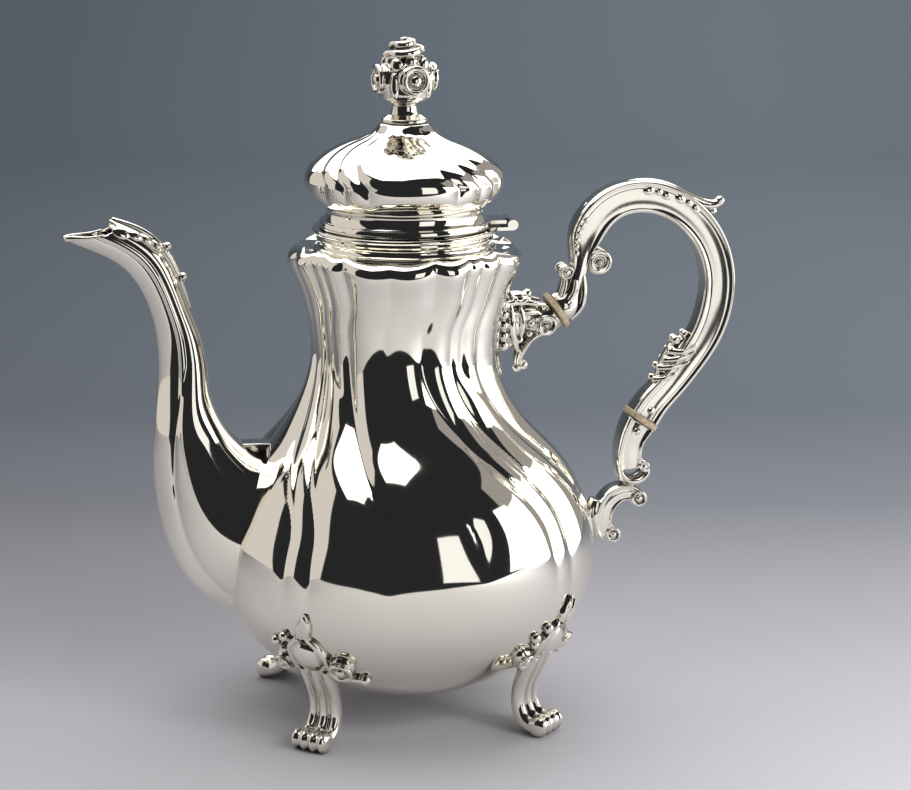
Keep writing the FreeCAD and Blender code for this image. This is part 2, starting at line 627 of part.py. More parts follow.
# Hinge: middle knuckle on the lid, outer knuckles on the collar
def barrel(width, y_start, bore_radius):
    """Knuckle of the hinge with its bore."""
    place = Vector(HINGE_X, y_start, HINGE_Z)
    tube = Part.makeCylinder(HINGE_BARREL_RADIUS, width, place, AXIS_Y)
    bore = Part.makeCylinder(bore_radius, width + 2.0, place - AXIS_Y, AXIS_Y)
    return tube, bore


half_middle = HINGE_MIDDLE_WIDTH / 2.0
leaf_end = HINGE_X - HINGE_BARREL_RADIUS - HINGE_LEAF_CLEARANCE
running_bore = HINGE_PIN_RADIUS + PIN_RUNNING_CLEARANCE
fixed_bore = HINGE_PIN_RADIUS + PIN_FIXED_CLEARANCE
middle_tube, middle_bore = barrel(HINGE_MIDDLE_WIDTH, -half_middle, running_bore)
lid_leaf_bottom = HINGE_Z + HINGE_BARREL_RADIUS - HINGE_LEAF_THICKNESS
lid_leaf_start = LID_RIM_RADIUS - 3.0
lid_plate = Part.makeBox(
    leaf_end - lid_leaf_start, HINGE_WIDTH, HINGE_LEAF_THICKNESS,
    Vector(lid_leaf_start, -HINGE_WIDTH / 2.0, lid_leaf_bottom))
lid_tongue = Part.makeBox(
    HINGE_X - leaf_end + 1.0, HINGE_MIDDLE_WIDTH, HINGE_LEAF_THICKNESS,
    Vector(leaf_end - 1.0, -half_middle, lid_leaf_bottom))
rim_seat = Part.makeCylinder(LID_RIM_RADIUS + SOLDER_GAP, 20.0, Vector(0, 0, LID_BOTTOM - 5.0))
parts["lid_hinge_leaf"] = joined([middle_tube, lid_plate, lid_tongue]).cut(middle_bore).cut(rim_seat)
collar_leaf_bottom = HINGE_Z - HINGE_BARREL_RADIUS
collar_leaf_start = COLLAR_WAIST_RADIUS - 2.0
collar_leaf = Part.makeBox(
    leaf_end - collar_leaf_start, HINGE_WIDTH, HINGE_LEAF_THICKNESS,
    Vector(collar_leaf_start, -HINGE_WIDTH / 2.0, collar_leaf_bottom))
collar_pieces = [collar_leaf]
side_width = (HINGE_WIDTH - HINGE_MIDDLE_WIDTH) / 2.0 - KNUCKLE_SIDE_CLEARANCE
side_start = half_middle + KNUCKLE_SIDE_CLEARANCE
collar_bores = []
for y_start in (side_start, -side_start - side_width):
    side_tube, side_bore = barrel(side_width, y_start, fixed_bore)
    tongue = Part.makeBox(
        HINGE_X - leaf_end + 1.0, side_width, HINGE_LEAF_THICKNESS,
        Vector(leaf_end - 1.0, y_start, collar_leaf_bottom))
    collar_pieces += [side_tube, tongue]
    collar_bores.append(side_bore)
collar_seat = Part.makeCylinder(COLLAR_LIP_RADIUS + SOLDER_GAP, 20.0, Vector(0, 0, collar_foot))
parts["collar_hinge_leaf"] = joined(collar_pieces).cut(Part.makeCompound(collar_bores)).cut(collar_seat)
parts["hinge_pin"] = Part.makeCylinder(
    HINGE_PIN_RADIUS, HINGE_WIDTH, Vector(HINGE_X, -HINGE_WIDTH / 2.0, HINGE_Z), AXIS_Y)


# Insulators with tenons and cross pins
def along(centre, axis, distance):
    """Place at a distance along an insulator axis."""
    return Vector(centre[0] + axis[0] * distance, 0, centre[1] + axis[1] * distance)


def axis_cylinder(centre, axis, radius, start, end):
    """Cylinder on an insulator axis between two distances from its middle."""
    direction = Vector(axis[0], 0, axis[1])
    return Part.makeCylinder(radius, end - start, along(centre, axis, start), direction)


def cross_pin(centre, axis, distance, radius, half_length):
    """Pin across the handle at a distance along an insulator axis."""
    place = along(centre, axis, distance) - AXIS_Y * half_length
    return Part.makeCylinder(radius, 2.0 * half_length, place, AXIS_Y)


half_disc = INSULATOR_THICKNESS / 2.0
tenon_end = half_disc + TENON_LENGTH
pin_distance = half_disc + TENON_PIN_SETBACK
bore_end = tenon_end + TENON_CLEARANCE
pin_bore_radius = TENON_PIN_RADIUS + PIN_FIXED_CLEARANCE
metal_start = half_disc + SOLDER_GAP


def insulator(centre, axis):
    """Disc with a tenon on each side, drilled for two cross pins."""
    disc = axis_cylinder(centre, axis, INSULATOR_RADIUS, -half_disc, half_disc)
    edges = [edge for edge in disc.Edges if isinstance(edge.Curve, Part.Circle)]
    disc = disc.makeFillet(0.6, edges)
    tenon = axis_cylinder(centre, axis, TENON_RADIUS, -tenon_end, tenon_end)
    drilled = disc.fuse(tenon)
    for distance in (-pin_distance, pin_distance):
        drilled = drilled.cut(cross_pin(centre, axis, distance, pin_bore_radius, 20.0))
    return drilled


def bored(solid, centre, axis, side):
    """Metal end cut square to the insulator, bored for its tenon and drilled for its pin."""
    across = Vector(axis[0] * side, 0, axis[1] * side)
    room_start = along(centre, axis, side * (metal_start - 8.0))
    room = Part.makeCylinder(INSULATOR_RADIUS + 1.0, 8.0, room_start, across)
    bore = Part.makeCylinder(TENON_RADIUS + TENON_CLEARANCE, bore_end, along(centre, axis, 0.0), across)
    pin_bore = cross_pin(centre, axis, side * pin_distance, pin_bore_radius, 20.0)
    return solid.cut(room).cut(bore).cut(pin_bore)


def grip_end(centre, axis, distance):
    """Round end section of a metal limb on an insulator axis."""
    place = along(centre, axis, distance)
    return (place.x, place.z, SOCKET_END_RADIUS, SOCKET_END_RADIUS)


parts["upper_insulator"] = insulator(UPPER_INSULATOR_CENTRE, UPPER_INSULATOR_AXIS)
parts["lower_insulator"] = insulator(LOWER_INSULATOR_CENTRE, LOWER_INSULATOR_AXIS)

# Handle grip
grip_line = [grip_end(UPPER_INSULATOR_CENTRE, UPPER_INSULATOR_AXIS, metal_start)]
grip_line.append(grip_end(UPPER_INSULATOR_CENTRE, UPPER_INSULATOR_AXIS, metal_start + 3.0))
grip_line += GRIP_LINE
grip_line.append(grip_end(LOWER_INSULATOR_CENTRE, LOWER_INSULATOR_AXIS, metal_start + 6.0))
grip_line.append(grip_end(LOWER_INSULATOR_CENTRE, LOWER_INSULATOR_AXIS, metal_start))
grip_bar = limb(grip_line, GRIP_SECTION_POWER)
top_leaf = limb([
    (82.0, 201.4, 1.0, 2.4), (91.6, 203.0, 1.4, GRIP_LEAF_HALF_DEPTH),
    (101.6, 201.4, 1.7, GRIP_LEAF_HALF_DEPTH), (110.8, 197.0, 1.8, GRIP_LEAF_HALF_DEPTH),
    (117.4, 193.4, 1.6, 2.6), (GRIP_SPUR_TIP[0], GRIP_SPUR_TIP[1], 1.1, 1.4)])
inner_leaf = limb([
    (110.6, 141.6, 1.6, 2.4), (107.6, 138.4, 2.4, 3.4), (104.2, 132.6, 2.5, 3.6),
    (100.4, 126.4, 1.9, 3.2), (96.8, 120.4, 1.0, 2.0)])
left_leaf = limb([
    (65.2, 174.0, 1.2, 2.6), (65.6, 181.0, 1.5, 3.2), (67.8, 188.6, 1.5, 3.2), (71.8, 195.2, 1.2, 2.4)])
cap = drum(GRIP_CAP_CENTRE, GRIP_CAP_RADIUS, 3.6)
cap_neck = limb([(GRIP_CAP_CENTRE[0], GRIP_CAP_CENTRE[1], 2.0, 3.2), (66.5, 165.5, 2.4, 3.6)])
grip_beads = [ball(GRIP_SPUR_TIP, GRIP_BEAD_RADIUS), ball((110.6, 143.0), GRIP_BEAD_RADIUS),
              ball((107.0, 141.2), GRIP_BEAD_RADIUS), ball((104.4, 138.0), GRIP_BEAD_RADIUS),
              ball((102.2, 134.2), GRIP_BEAD_RADIUS)]
grip_volute = curl(GRIP_VOLUTE_CENTRE, GRIP_VOLUTE_RADIUS, GRIP_VOLUTE_HALF_DEPTH, GRIP_VOLUTE_EYE_RADIUS)
grip_solid = joined([grip_bar, top_leaf, inner_leaf, left_leaf, cap, cap_neck, grip_volute] + grip_beads)
grip_solid = bored(grip_solid, UPPER_INSULATOR_CENTRE, UPPER_INSULATOR_AXIS, 1)
grip_solid = bored(grip_solid, LOWER_INSULATOR_CENTRE, LOWER_INSULATOR_AXIS, 1)
parts["handle_grip"] = largest(grip_solid)

# Upper socket, a leafy bracket on the neck
socket_line = list(UPPER_SOCKET_LINE)
socket_line.append(grip_end(UPPER_INSULATOR_CENTRE, UPPER_INSULATOR_AXIS, -metal_start - 5.0))
socket_line.append(grip_end(UPPER_INSULATOR_CENTRE, UPPER_INSULATOR_AXIS, -metal_start))
socket_pieces = [limb(socket_line)]
socket_pieces.append(limb([(x, z, UPPER_SOCKET_TAIL_RADIUS, 3.0) for x, z in UPPER_SOCKET_TAIL]))
socket_pieces.append(ball((45.6, 132.8), UPPER_SOCKET_TAIL_RADIUS))
socket_pieces.append(curl(UPPER_SOCKET_VOLUTE_CENTRE, UPPER_SOCKET_VOLUTE_RADIUS, 6.8, 1.5))
socket_pieces.append(limb([(40.5, 163.0, 1.8, 5.0), (45.0, 162.6, 2.0, 4.2), (49.0, 160.6, 1.8, 3.0)]))
socket_pieces.append(ball((47.6, 163.2), UPPER_SOCKET_TAIL_RADIUS))
upper_socket = joined(socket_pieces)
upper_socket = bored(upper_socket, UPPER_INSULATOR_CENTRE, UPPER_INSULATOR_AXIS, -1)
parts["upper_socket"] = largest(upper_socket.cut(body_seat))

# Lower socket, two opposed scrolls on the belly
lower_line = [grip_end(LOWER_INSULATOR_CENTRE, LOWER_INSULATOR_AXIS, -metal_start)]
lower_line.append(grip_end(LOWER_INSULATOR_CENTRE, LOWER_INSULATOR_AXIS, -metal_start - 5.0))
lower_line += LOWER_SOCKET_LINE
curl_eye = LOWER_SOCKET_CURL_RADIUS * 0.45
lower_pieces = [limb(lower_line, 2.4), limb(LOWER_SCROLL_LINE, 2.4)]
for place in (LOWER_SOCKET_CURL_CENTRE, LOWER_SCROLL_CURL_CENTRE, LOWER_SCROLL_TAIL_CENTRE):
    lower_pieces.append(curl(place, LOWER_SOCKET_CURL_RADIUS, 3.8, curl_eye))
lower_pieces.append(Part.makeCylinder(
    LOWER_PAD_RADIUS, 12.0, Vector(66.0, 0, LOWER_PAD_HEIGHT), Vector(1, 0, 0)))
lower_socket = joined(lower_pieces)
lower_socket = bored(lower_socket, LOWER_INSULATOR_CENTRE, LOWER_INSULATOR_AXIS, -1)
parts["lower_socket"] = largest(lower_socket.cut(body_seat))

# Cross pins, flush with the metal they hold
pin_half_length = SOCKET_END_RADIUS - 0.8
for name, centre, axis in (
        ("upper", UPPER_INSULATOR_CENTRE, UPPER_INSULATOR_AXIS),
        ("lower", LOWER_INSULATOR_CENTRE, LOWER_INSULATOR_AXIS)):
    parts[name + "_socket_pin"] = cross_pin(centre, axis, -pin_distance, TENON_PIN_RADIUS, pin_half_length)
    parts[name + "_grip_pin"] = cross_pin(centre, axis, pin_distance, TENON_PIN_RADIUS, pin_half_length)


# Feet, one casting turned to four places
def on_belly(across, z):
    """Place and outward direction on the belly beside the foot line, in the frame of a foot along +X."""
    radius = outline_radius(BODY_OUTLINE, z)
    turn = across / radius
    slope = (outline_radius(BODY_OUTLINE, z + 1.0) - outline_radius(BODY_OUTLINE, z - 1.0)) / 2.0
    outward = unit(Vector(math.cos(turn), math.sin(turn), -slope))
    return Vector(radius * math.cos(turn), radius * math.sin(turn), z), outward


def belly_limb(stations):
    """Sweep lying on the belly through stations of distance across, height, half thickness, half width."""
    places = [on_belly(entry[0], entry[1]) for entry in stations]
    return swept([place for place, outward in places], [entry[2] for entry in stations],
                 [entry[3] for entry in stations], [outward for place, outward in places])


leg = limb(LEG_LINE, 2.6)
toe_height = TOE_RADIUS - TOE_FLAT
toe = drum((TOE_CENTRE_RADIUS, toe_height), TOE_RADIUS, TOE_HALF_WIDTH)
toe = toe.makeFillet(0.8, [edge for edge in toe.Edges if isinstance(edge.Curve, Part.Circle)])
foot_pieces = [leg, toe]
for stations in (MOUNT_LEAF, SCROLL_ARM, LEAF_ARM):
    foot_pieces.append(belly_limb(stations))
boss_place, boss_outward = on_belly(0.0, BOSS_HEIGHT)
boss_along = unit(AXIS_Y.cross(boss_outward))
boss_axes = (AXIS_Y, boss_along, boss_outward)
boss_sizes = (BOSS_HALF_WIDTH, BOSS_HALF_LENGTH, BOSS_HALF_THICKNESS)
foot_pieces.append(ellipsoid(boss_place, boss_axes, boss_sizes))
for across, z, radius, thickness in SIDE_SCROLLS:
    place, outward = on_belly(across, z)
    root = place - outward * 2.0
    foot_pieces.append(Part.makeCylinder(radius, thickness + 2.0, root, outward))
    foot_pieces.append(Part.makeCylinder(radius * 0.4, thickness + 2.7, root, outward))
for across, z in BERRIES:
    place, outward = on_belly(across, z)
    foot_pieces.append(ball(place + outward * 0.9, BERRY_RADIUS))
foot_casting = joined(foot_pieces)
below_floor = Part.makeBox(200, 200, 20, Vector(-100, -100, -20))
foot_casting = foot_casting.cut(below_floor)
for name, angle in FOOT_ANGLES.items():
    foot = foot_casting.copy()
    foot.Placement = Placement(Vector(0, 0, 0), Rotation(AXIS_Z, angle))
    parts[name] = largest(foot.cut(body_seat))

os.makedirs("parts", exist_ok=True)
for name, shape in parts.items():
    shape.exportStep("parts/" + name + ".step")
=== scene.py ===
import math
import bmesh
import bpy
import numpy as np
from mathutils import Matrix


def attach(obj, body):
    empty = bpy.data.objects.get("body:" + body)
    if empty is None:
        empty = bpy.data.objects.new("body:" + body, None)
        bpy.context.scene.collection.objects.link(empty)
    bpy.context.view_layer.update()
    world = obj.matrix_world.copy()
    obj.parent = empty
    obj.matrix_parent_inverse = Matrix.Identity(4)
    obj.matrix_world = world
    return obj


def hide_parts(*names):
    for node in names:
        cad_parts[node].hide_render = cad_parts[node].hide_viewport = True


# A silver coffee pot on four scroll feet with a hinged lid. Sizes are in millimetres and turned into
# metres when a mesh is made; the stage and the camera are in metres. Origin on the floor under the pot
# axis, +X handle, -X spout, +Z up.

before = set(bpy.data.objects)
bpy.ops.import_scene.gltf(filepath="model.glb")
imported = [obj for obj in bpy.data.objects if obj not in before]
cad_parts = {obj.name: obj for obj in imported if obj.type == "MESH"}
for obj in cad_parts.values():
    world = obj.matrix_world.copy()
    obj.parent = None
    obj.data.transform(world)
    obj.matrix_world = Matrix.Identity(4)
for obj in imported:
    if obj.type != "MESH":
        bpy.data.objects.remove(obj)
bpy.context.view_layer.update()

MM = 0.001
SIDES = (-1.0, 1.0)

# Body; its outline is height and radius
BODY_BOTTOM = 14.0
BODY_TOP = 180.8
BODY_WALL = 1.0
BODY_OUTLINE = [
    (BODY_BOTTOM, 31), (17, 39), (20.5, 46), (24, 51.6), (30, 58.4), (38, 64.6),
    (48, 70), (60, 72.8), (72, 72.8), (84, 69.4), (96, 63.2), (106, 55.4),
    (114, 48), (122, 42.4), (130, 38.9), (138, 37.1), (146, 36.9), (154, 37.8),
    (162, 39.6), (169, 42.1), (173.6, 44.3), (176.8, 45.1), (179.2, 44.2), (BODY_TOP, 42),
]
FLUTE_DEPTH = 3.0
FLUTE_WIDTH = 6.0
FLUTE_VALLEY = 0.9
FLUTE_TURN_TOP = 145.0
FLUTE_TURN_BOTTOM = 80.0
FLUTE_RIM_SHIFT = 5.0
FLUTE_RIM_SHIFT_START = 152.0
FLUTE_RIM_SHIFT_END = 166.0
# Each flute: angle at the neck, turn down to the belly, height where it ends and where it is full, strength
FLUTES = [
    (-139.5, 33, 56, 108, 1), (-91, 41, 48, 88, 1),
    (-71.5, 30, 44, 84, 1), (-114, 36, 68, 86, 0.45),
]
# A short flute that leaves the first one and runs up the neck
POINTED_FLUTE_ANGLE = -153.5
POINTED_FLUTE_TIP = 119.0
POINTED_FLUTE_FULL = 140.0
RIM_LIFT = 0.7
RIM_LIFT_START = 164.0
RIM_LIFT_END = 174.0
# Rings of points under the bottom, on the floor inside and over the flange, the last as shares of its width
BOTTOM_RINGS = (6, 16, 24, 30)
FLOOR_RINGS = (24, 12, 4)
FLANGE_RINGS = (0.04, 0.3, 0.7, 0.96, 1)
FLANGE_FLUTE_FADE = 2.5

# Collar
COLLAR_TOP = 188.9
COLLAR_MOUTH_RADIUS = 29.0
COLLAR_FOOT_RADIUS = 34.4
COLLAR_WAIST_RADIUS = 32.7
COLLAR_BEAD_RADIUS = 33.4
COLLAR_LIP_RADIUS = 34.9
COLLAR_LIP_HEIGHT = 1.5
SEAT_GAP = 0.05
RING_EDGE = 0.15

# Lid; its outline is height and radius
LID_BOTTOM = COLLAR_TOP + 0.3
LID_WALL = 1.0
LID_RIM_RADIUS = 32.4
LID_RIM_HEIGHT = 2.6
LID_WAIST_RADIUS = 29.9
LID_DOME_BOTTOM = 196.5
LID_DOME_TOP = 228.0
LID_TOP_RADIUS = 9.4
LID_BORE_RADIUS = 2.1
LID_OUTLINE = [
    (LID_DOME_BOTTOM, LID_WAIST_RADIUS), (199.5, 33.3), (203.5, 36.8), (207.5, 37.7), (210.5, 36.9),
    (214, 33.9), (218, 28.2), (221.5, 20.4), (224.5, 13.4), (LID_DOME_TOP, LID_TOP_RADIUS),
]
LID_FLUTE_DEPTH = 2.2
LID_FLUTE_WIDTH = 4.2
LID_FLUTE_VALLEY = 0.6
LID_FLUTE_BOTTOM = 198.0
LID_FLUTE_FULL = 206.0
LID_FLUTE_TOP = 222.0
LID_FLUTE_ANGLES = [-124, -68, -50]
LID_FLUTE_TURN = -37.0
LID_FLUTE_TURN_START = 207.5
BEZEL_RADIUS = COLLAR_MOUTH_RADIUS - 0.6
BEZEL_WALL = 0.9
BEZEL_DEPTH = 6.0
BEZEL_EDGE = 0.25
# Rings of points over and under the top of the dome, and the height over its edge where the inside starts
DOME_TOP_RINGS = (9, 5, LID_BORE_RADIUS)
DOME_UNDER_RINGS = (LID_BORE_RADIUS, 6)
DOME_INSIDE_START = 3.0

# Spout: outer point, inner point (each x, z) and half width of every section
SPOUT_WALL = 0.9
SPOUT_SECTIONS = [
    (-58, 35, -45, 104, 27), (-72, 44.6, -56.5, 104.6, 26),
    (-84.1, 55.3, -65, 110.8, 22.5), (-92, 70.5, -70.3, 117.8, 18.5),
    (-95.6, 87, -73.2, 124, 15), (-96.9, 105, -75, 131, 12.4),
    (-95.6, 121, -75.5, 138, 10.5), (-94.3, 137, -76.6, 145.3, 9.2),
    (-94.6, 151, -78.6, 152.6, 8.4), (-97, 161.5, -81.8, 161, 8),
    (-100.6, 169.7, -85.6, 171.6, 7.8), (-107, 177.6, -91, 182.4, 7.6),
    (-117, 183.4, -99.5, 190.2, 7.4), (-128, 188.2, -110.3, 195.4, 6.8),
]
SPOUT_FLUTE_DEPTH = 0.10
SPOUT_FLUTE_WIDTH = 0.16
SPOUT_FLUTE_VALLEY = 0.05
# The front of the spout is sharper than an ellipse, whose power is 2, from a share of its length on
SPOUT_FRONT_POWER = 1.25
SPOUT_FRONT_SPREAD = 0.2
SPOUT_FRONT_START = 0.12
SPOUT_FRONT_FULL = 0.42
# Each crease: angle from the outer edge at four places along the spout, then where it fades in
SPOUT_FLUTE_PLACES = (0.1, 0.34, 0.58, 1)
SPOUT_FLUTES = [(36, 50, 98, 106, 0, 0.1), (60, 62, 74, 82, 0.42, 0.56)]
# The rim of the mouth is cut back most between two angles from the tip of the lip
MOUTH_DIP = 5.4
MOUTH_DIP_FRONT = 110.0
MOUTH_DIP_BACK = 132.0
MOUTH_DIP_END = 172.0
LIP_REACH = 0.3
LIP_HALF_ANGLE = 100
LIP_EDGE = 0.5
LIP_SWELL = 0.6
SPOUT_SINK = 0.4
SPOUT_SAMPLES = 400
SPOUT_ROWS = 160
SPOUT_COLUMNS = 180
# Leaf behind the mouth: half heights of its rib, then lobes as share of the length, angle, half length and
# half width, then beads as section number and lift along x and z
LEAF_RIB_HEIGHTS = (0.9, 1.7, 1.8, 1.4, 0.7)
LEAF_RIB_HALF_WIDTH = 1.3
LEAF_LOBES = [
    (0.955, 126, 3.6, 2.3), (0.93, 140, 3.4, 2.1), (0.905, 150, 3.2, 1.9), (0.875, 160, 3.2, 1.7),
]
LEAF_LOBE_HEIGHT = 1.1
LEAF_BEADS = [(11, 1.2, 2), (10, 1.4, 1.2)]
LEAF_BEAD_RADII = (1.7, 1.9, 1.7)
# Tab over the joint, a small block that narrows to its top: x, z, half height, half width
TAB_LINE = [
    (-67, 106.8, 1.8, 3.4), (-62, 106, 2.6, 4.4), (-55, 105.6, 2.8, 4.6), (-50, 105.4, 2.4, 4.6),
]
TAB_CORNERS = [(1, -1), (0.55, 1), (-0.55, 1), (-1, -1)]
TAB_EDGE = 0.15

# Finial knob; its core is radius and height
STEM_BOTTOM = 231.3
KNOB_CORE = [
    (0, STEM_BOTTOM), (5.5, STEM_BOTTOM), (5.1, 232.2), (4.8, 233.8), (5, 235.2), (7, 235.9),
    (9.2, 237.6), (10, 240.6), (10, 244.4), (9.2, 247.6), (7.8, 249.8), (6.4, 251.2),
    (5.6, 252.2), (5.2, 253.4), (4.8, 254.6), (4.2, 256), (2.6, 257), (0, 257.4),
]
KNOB_LEAST_RADIUS = 0.05
# Its four volutes: radius, depth, angle where the rim starts, its turns, eye as a share of the radius
KNOB_VOLUTE = (5.9, 3.2, 150, -1.1, 0.4)
KNOB_VOLUTE_ANGLE = -80.0
KNOB_VOLUTE_PLACE = (8.3, 0, 244.4)
# Leaf lobes: turn from a volute, reach, height, then half sizes outwards, across and upwards
KNOB_LOBES = [
    (0, 6.4, 251.2, 1.5, 2.4, 1.9), (45, 7.7, 249.6, 1.9, 2.7, 3), (45, 9.7, 242.4, 1.4, 1.7, 4.8),
]
# Curled bud: a strand that winds up round a ball, between two angles over its middle
BUD_BOTTOM = 251.4
BUD_RADIUS = 7.1
BUD_START = 150.0
BUD_TURNS = 2.2
BUD_LOW = 12.0
BUD_HIGH = 86.0
BUD_THICK = 1.7
BUD_THIN = 1.3
BUD_TIP_RADIUS = 1.4

# In the handle's castings, bars on the middle plane run through (x, z, half height, half width) and balls
# are (x, z, radius or radii). On the sides, ribs run through (x, y, z, half height, half width), balls are
# (x, y, z, radius or radii) and volutes are x, y, z and the values listed for the knob.

# Handle grip from the upper to the lower insulator: x, z, half width, half depth, roundness
GRIP_LINE = [
    (60.23, 155.01, 6, 6, 1), (62.70, 156.71, 6, 6, 1), (65.2, 160.6, 4.4, 4, 1),
    (66.8, 165.4, 3.8, 3.7, 1), (67.8, 170.6, 3.4, 4.3, 0.6), (68.4, 175.6, 3.9, 4.8, 0.2),
    (69.8, 182, 5.8, 5.2, 0), (74.4, 190.2, 6.4, 5.3, 0), (81.8, 195.8, 6.3, 5.3, 0),
    (91.8, 197.6, 6.3, 5.3, 0), (101.7, 195.6, 6.3, 5.3, 0), (110.9, 190, 6.3, 5.3, 0),
    (118.2, 181.5, 6.3, 5.3, 0), (122.4, 171.6, 6.3, 5.3, 0), (123.6, 162.4, 6.3, 5.3, 0),
    (122.4, 152.6, 6.3, 5.3, 0), (118.8, 142.6, 6.1, 5.2, 0), (112.6, 132.8, 5.8, 5.1, 0),
    (105, 123.2, 5.5, 5.1, 0), (97.98, 115.83, 5.8, 5.6, 0), (94.52, 110.92, 6, 6, 0),
]
# A quarter of the band across the handle, from its edge over the border ridge to the dished side
BAND_QUARTER = [
    (1, 0), (0.995, 0.45), (0.96, 0.80), (0.87, 0.98), (0.77, 0.98), (0.69, 0.91), (0.60, 0.87),
    (0.45, 0.87), (0.22, 0.89), (0, 0.90),
]
GRIP_ROWS = 420
GRIP_VOLUTES = [
    (75.2, 1.6, 172.9, 5.2, 3.4, 150, -1.7, 0.2), (62.4, 1, 169.4, 2.9, 3.2, 0, 1.1, 0.42),
]
# Leaf lobes on the outer border: x, z, half length, half width, lean
GRIP_LOBES = [
    (94, 200, 2.6, 1.8, 4), (97.8, 199.4, 2, 1.5, 12), (101, 197.8, 2.5, 1.7, 20),
    (106.6, 196.4, 2.6, 1.8, 34), (110, 194.8, 2, 1.5, 42), (112.8, 192.4, 2.5, 1.7, 50),
]
GRIP_LOBE_Y = 4.2
GRIP_LOBE_HEIGHT = 1.4
GRIP_SIDE_BALLS = [
    (69.4, 4.3, 189.6, 1.3), (67.9, 4.3, 187.2, 1.3), (66.7, 4.3, 184.7, 1.3), (66, 4.3, 182, 1.3),
    (65.7, 4.3, 179.4, 1.3), (65.8, 4.3, 176.8, 1.3), (106.8, 1.7, 140.9, 1.8), (110.6, 1.7, 143, 1.5),
]
GRIP_NECK_RIB = [(62.4, 4.4, 157.8, 0.9, 1), (65.2, 4.4, 161.6, 0.9, 1.1), (65.9, 4, 166.6, 0.7, 0.8)]
# Strands of the inner leaf: tip, middle and end, each x, z
GRIP_STRANDS = [
    ((104.8, 136.8), (109.6, 136.6), (114.6, 139.6)), ((102.7, 133.3), (108.2, 134), (114.4, 136.6)),
    ((100.3, 130.4), (105.8, 130.8), (112, 132.6)), ((98.7, 125.8), (102.4, 126.4), (106.6, 128.4)),
]
# Their y, half height and half width at the same three places, and the bead at the tip
STRAND_SHAPE = [(2.9, 1.1, 1.1), (4.3, 1, 1.1), (4.2, 0.5, 0.6)]
STRAND_BEAD_Y = 2.6
STRAND_BEAD_RADIUS = 1.4
# Outer leaf with a spur, root of the inner leaf, edge of the outer leaf, S-leaf, bar and cap of the neck
GRIP_BARS = [
    [(82, 201.4, 1, 2.4), (91.6, 203, 1.4, 3.4), (101.6, 201.4, 1.7, 3.4), (110.8, 197, 1.9, 3.4),
     (117.2, 193.6, 2.3, 3), (121.2, 193.2, 1.9, 2.4), (124, 194, 1.5, 1.8)],
    [(111.4, 142, 1.6, 2.6), (108.4, 138.4, 3, 3.8), (105.2, 133.6, 3.4, 4), (102, 127.6, 2.6, 3.4),
     (98.6, 121.6, 1, 2.2)],
    [(65.4, 173.6, 1.3, 3), (65.2, 180.6, 1.5, 3.4), (67.4, 188.4, 1.5, 3.4), (71.6, 195.2, 1.2, 2.4)],
    [(69, 171, 1.2, 3), (69.2, 165.6, 2, 4.2), (69.2, 159.4, 2.3, 4.7), (67, 154, 2, 4.4),
     (64.4, 151, 1.2, 3.2)],
    [(62.6, 168, 1.6, 3.2), (62, 163.8, 1.6, 4), (60.6, 159.4, 1.7, 4.4)],
    [(62.4, 169.4, 2, 3.2), (66.8, 167.6, 1.6, 3)],
]
GRIP_BALLS = [(124, 194.5, 2), (120.4, 190.6, (2.6, 2.4, 1.5))]

# Upper socket: the bracket, its underside that runs down into a curled tail, and the leaf on top
UPPER_BARS = [
    [(31, 150, 11.5, 8), (38.5, 150.6, 10.6, 7.4), (46, 152, 8.2, 6.6), (54.05, 150.76, 6, 6),
     (58.17, 153.59, 6, 6)],
    [(58.4, 149, 1.4, 5), (52.6, 146.4, 1.8, 5.6), (48.4, 144.2, 2, 5.8), (46, 140.6, 1.9, 5),
     (44.4, 137, 1.8, 4), (44, 134.2, 1.6, 3.2)],
    [(40.5, 160.8, 1.8, 4.6), (44.6, 160.6, 2, 4), (48.6, 158.8, 1.8, 3)],
]
UPPER_BALLS = [(46.4, 133.4, 2), (43.8, 132.4, 1.8), (47.8, 161.2, 1.9)]
UPPER_VOLUTES = [(53.8, 3.6, 149.6, 4.3, 3.6, 120, -1.6, 0.2)]
# Two ribs along the top of each side and two down it
UPPER_RIBS = [
    [(38.6, 6.4, 158.6, 0.9, 1.1), (46.3, 6.2, 158.8, 0.9, 1), (54, 4.6, 157.4, 0.7, 0.8)],
    [(40.4, 6.4, 154.6, 0.9, 1.1), (46, 6.2, 155.3, 0.9, 1), (51.6, 4.6, 154.4, 0.7, 0.8)],
    [(38.2, 5, 160.8, 0.9, 0.9), (39.8, 7.4, 155.6, 1, 1.2), (40.2, 7.6, 149, 1, 1.3),
     (41.6, 6.4, 143.8, 0.9, 1.1), (43.6, 3.8, 139.6, 0.8, 0.9)],
    [(43.4, 6.4, 157.2, 0.8, 0.8), (44.6, 7, 151.6, 0.9, 1), (44, 6.2, 146.2, 0.7, 0.8)],
]
UPPER_SIDE_BALLS = [
    (41.6, 5.568, 159.6, 1.6), (45.4, 5.592, 159.4, 1.5), (47.8, 6.576, 150.8, 1.5),
    (47.2, 6.096, 146.8, 1.4), (43.6, 5.832, 144.6, 1.4),
]
UPPER_SIDE_BALLS += [(36.6, 7.4, z, (2.2, 1.7, 2.1)) for z in (158.4, 154.6, 150.6, 146.6, 142.8)]

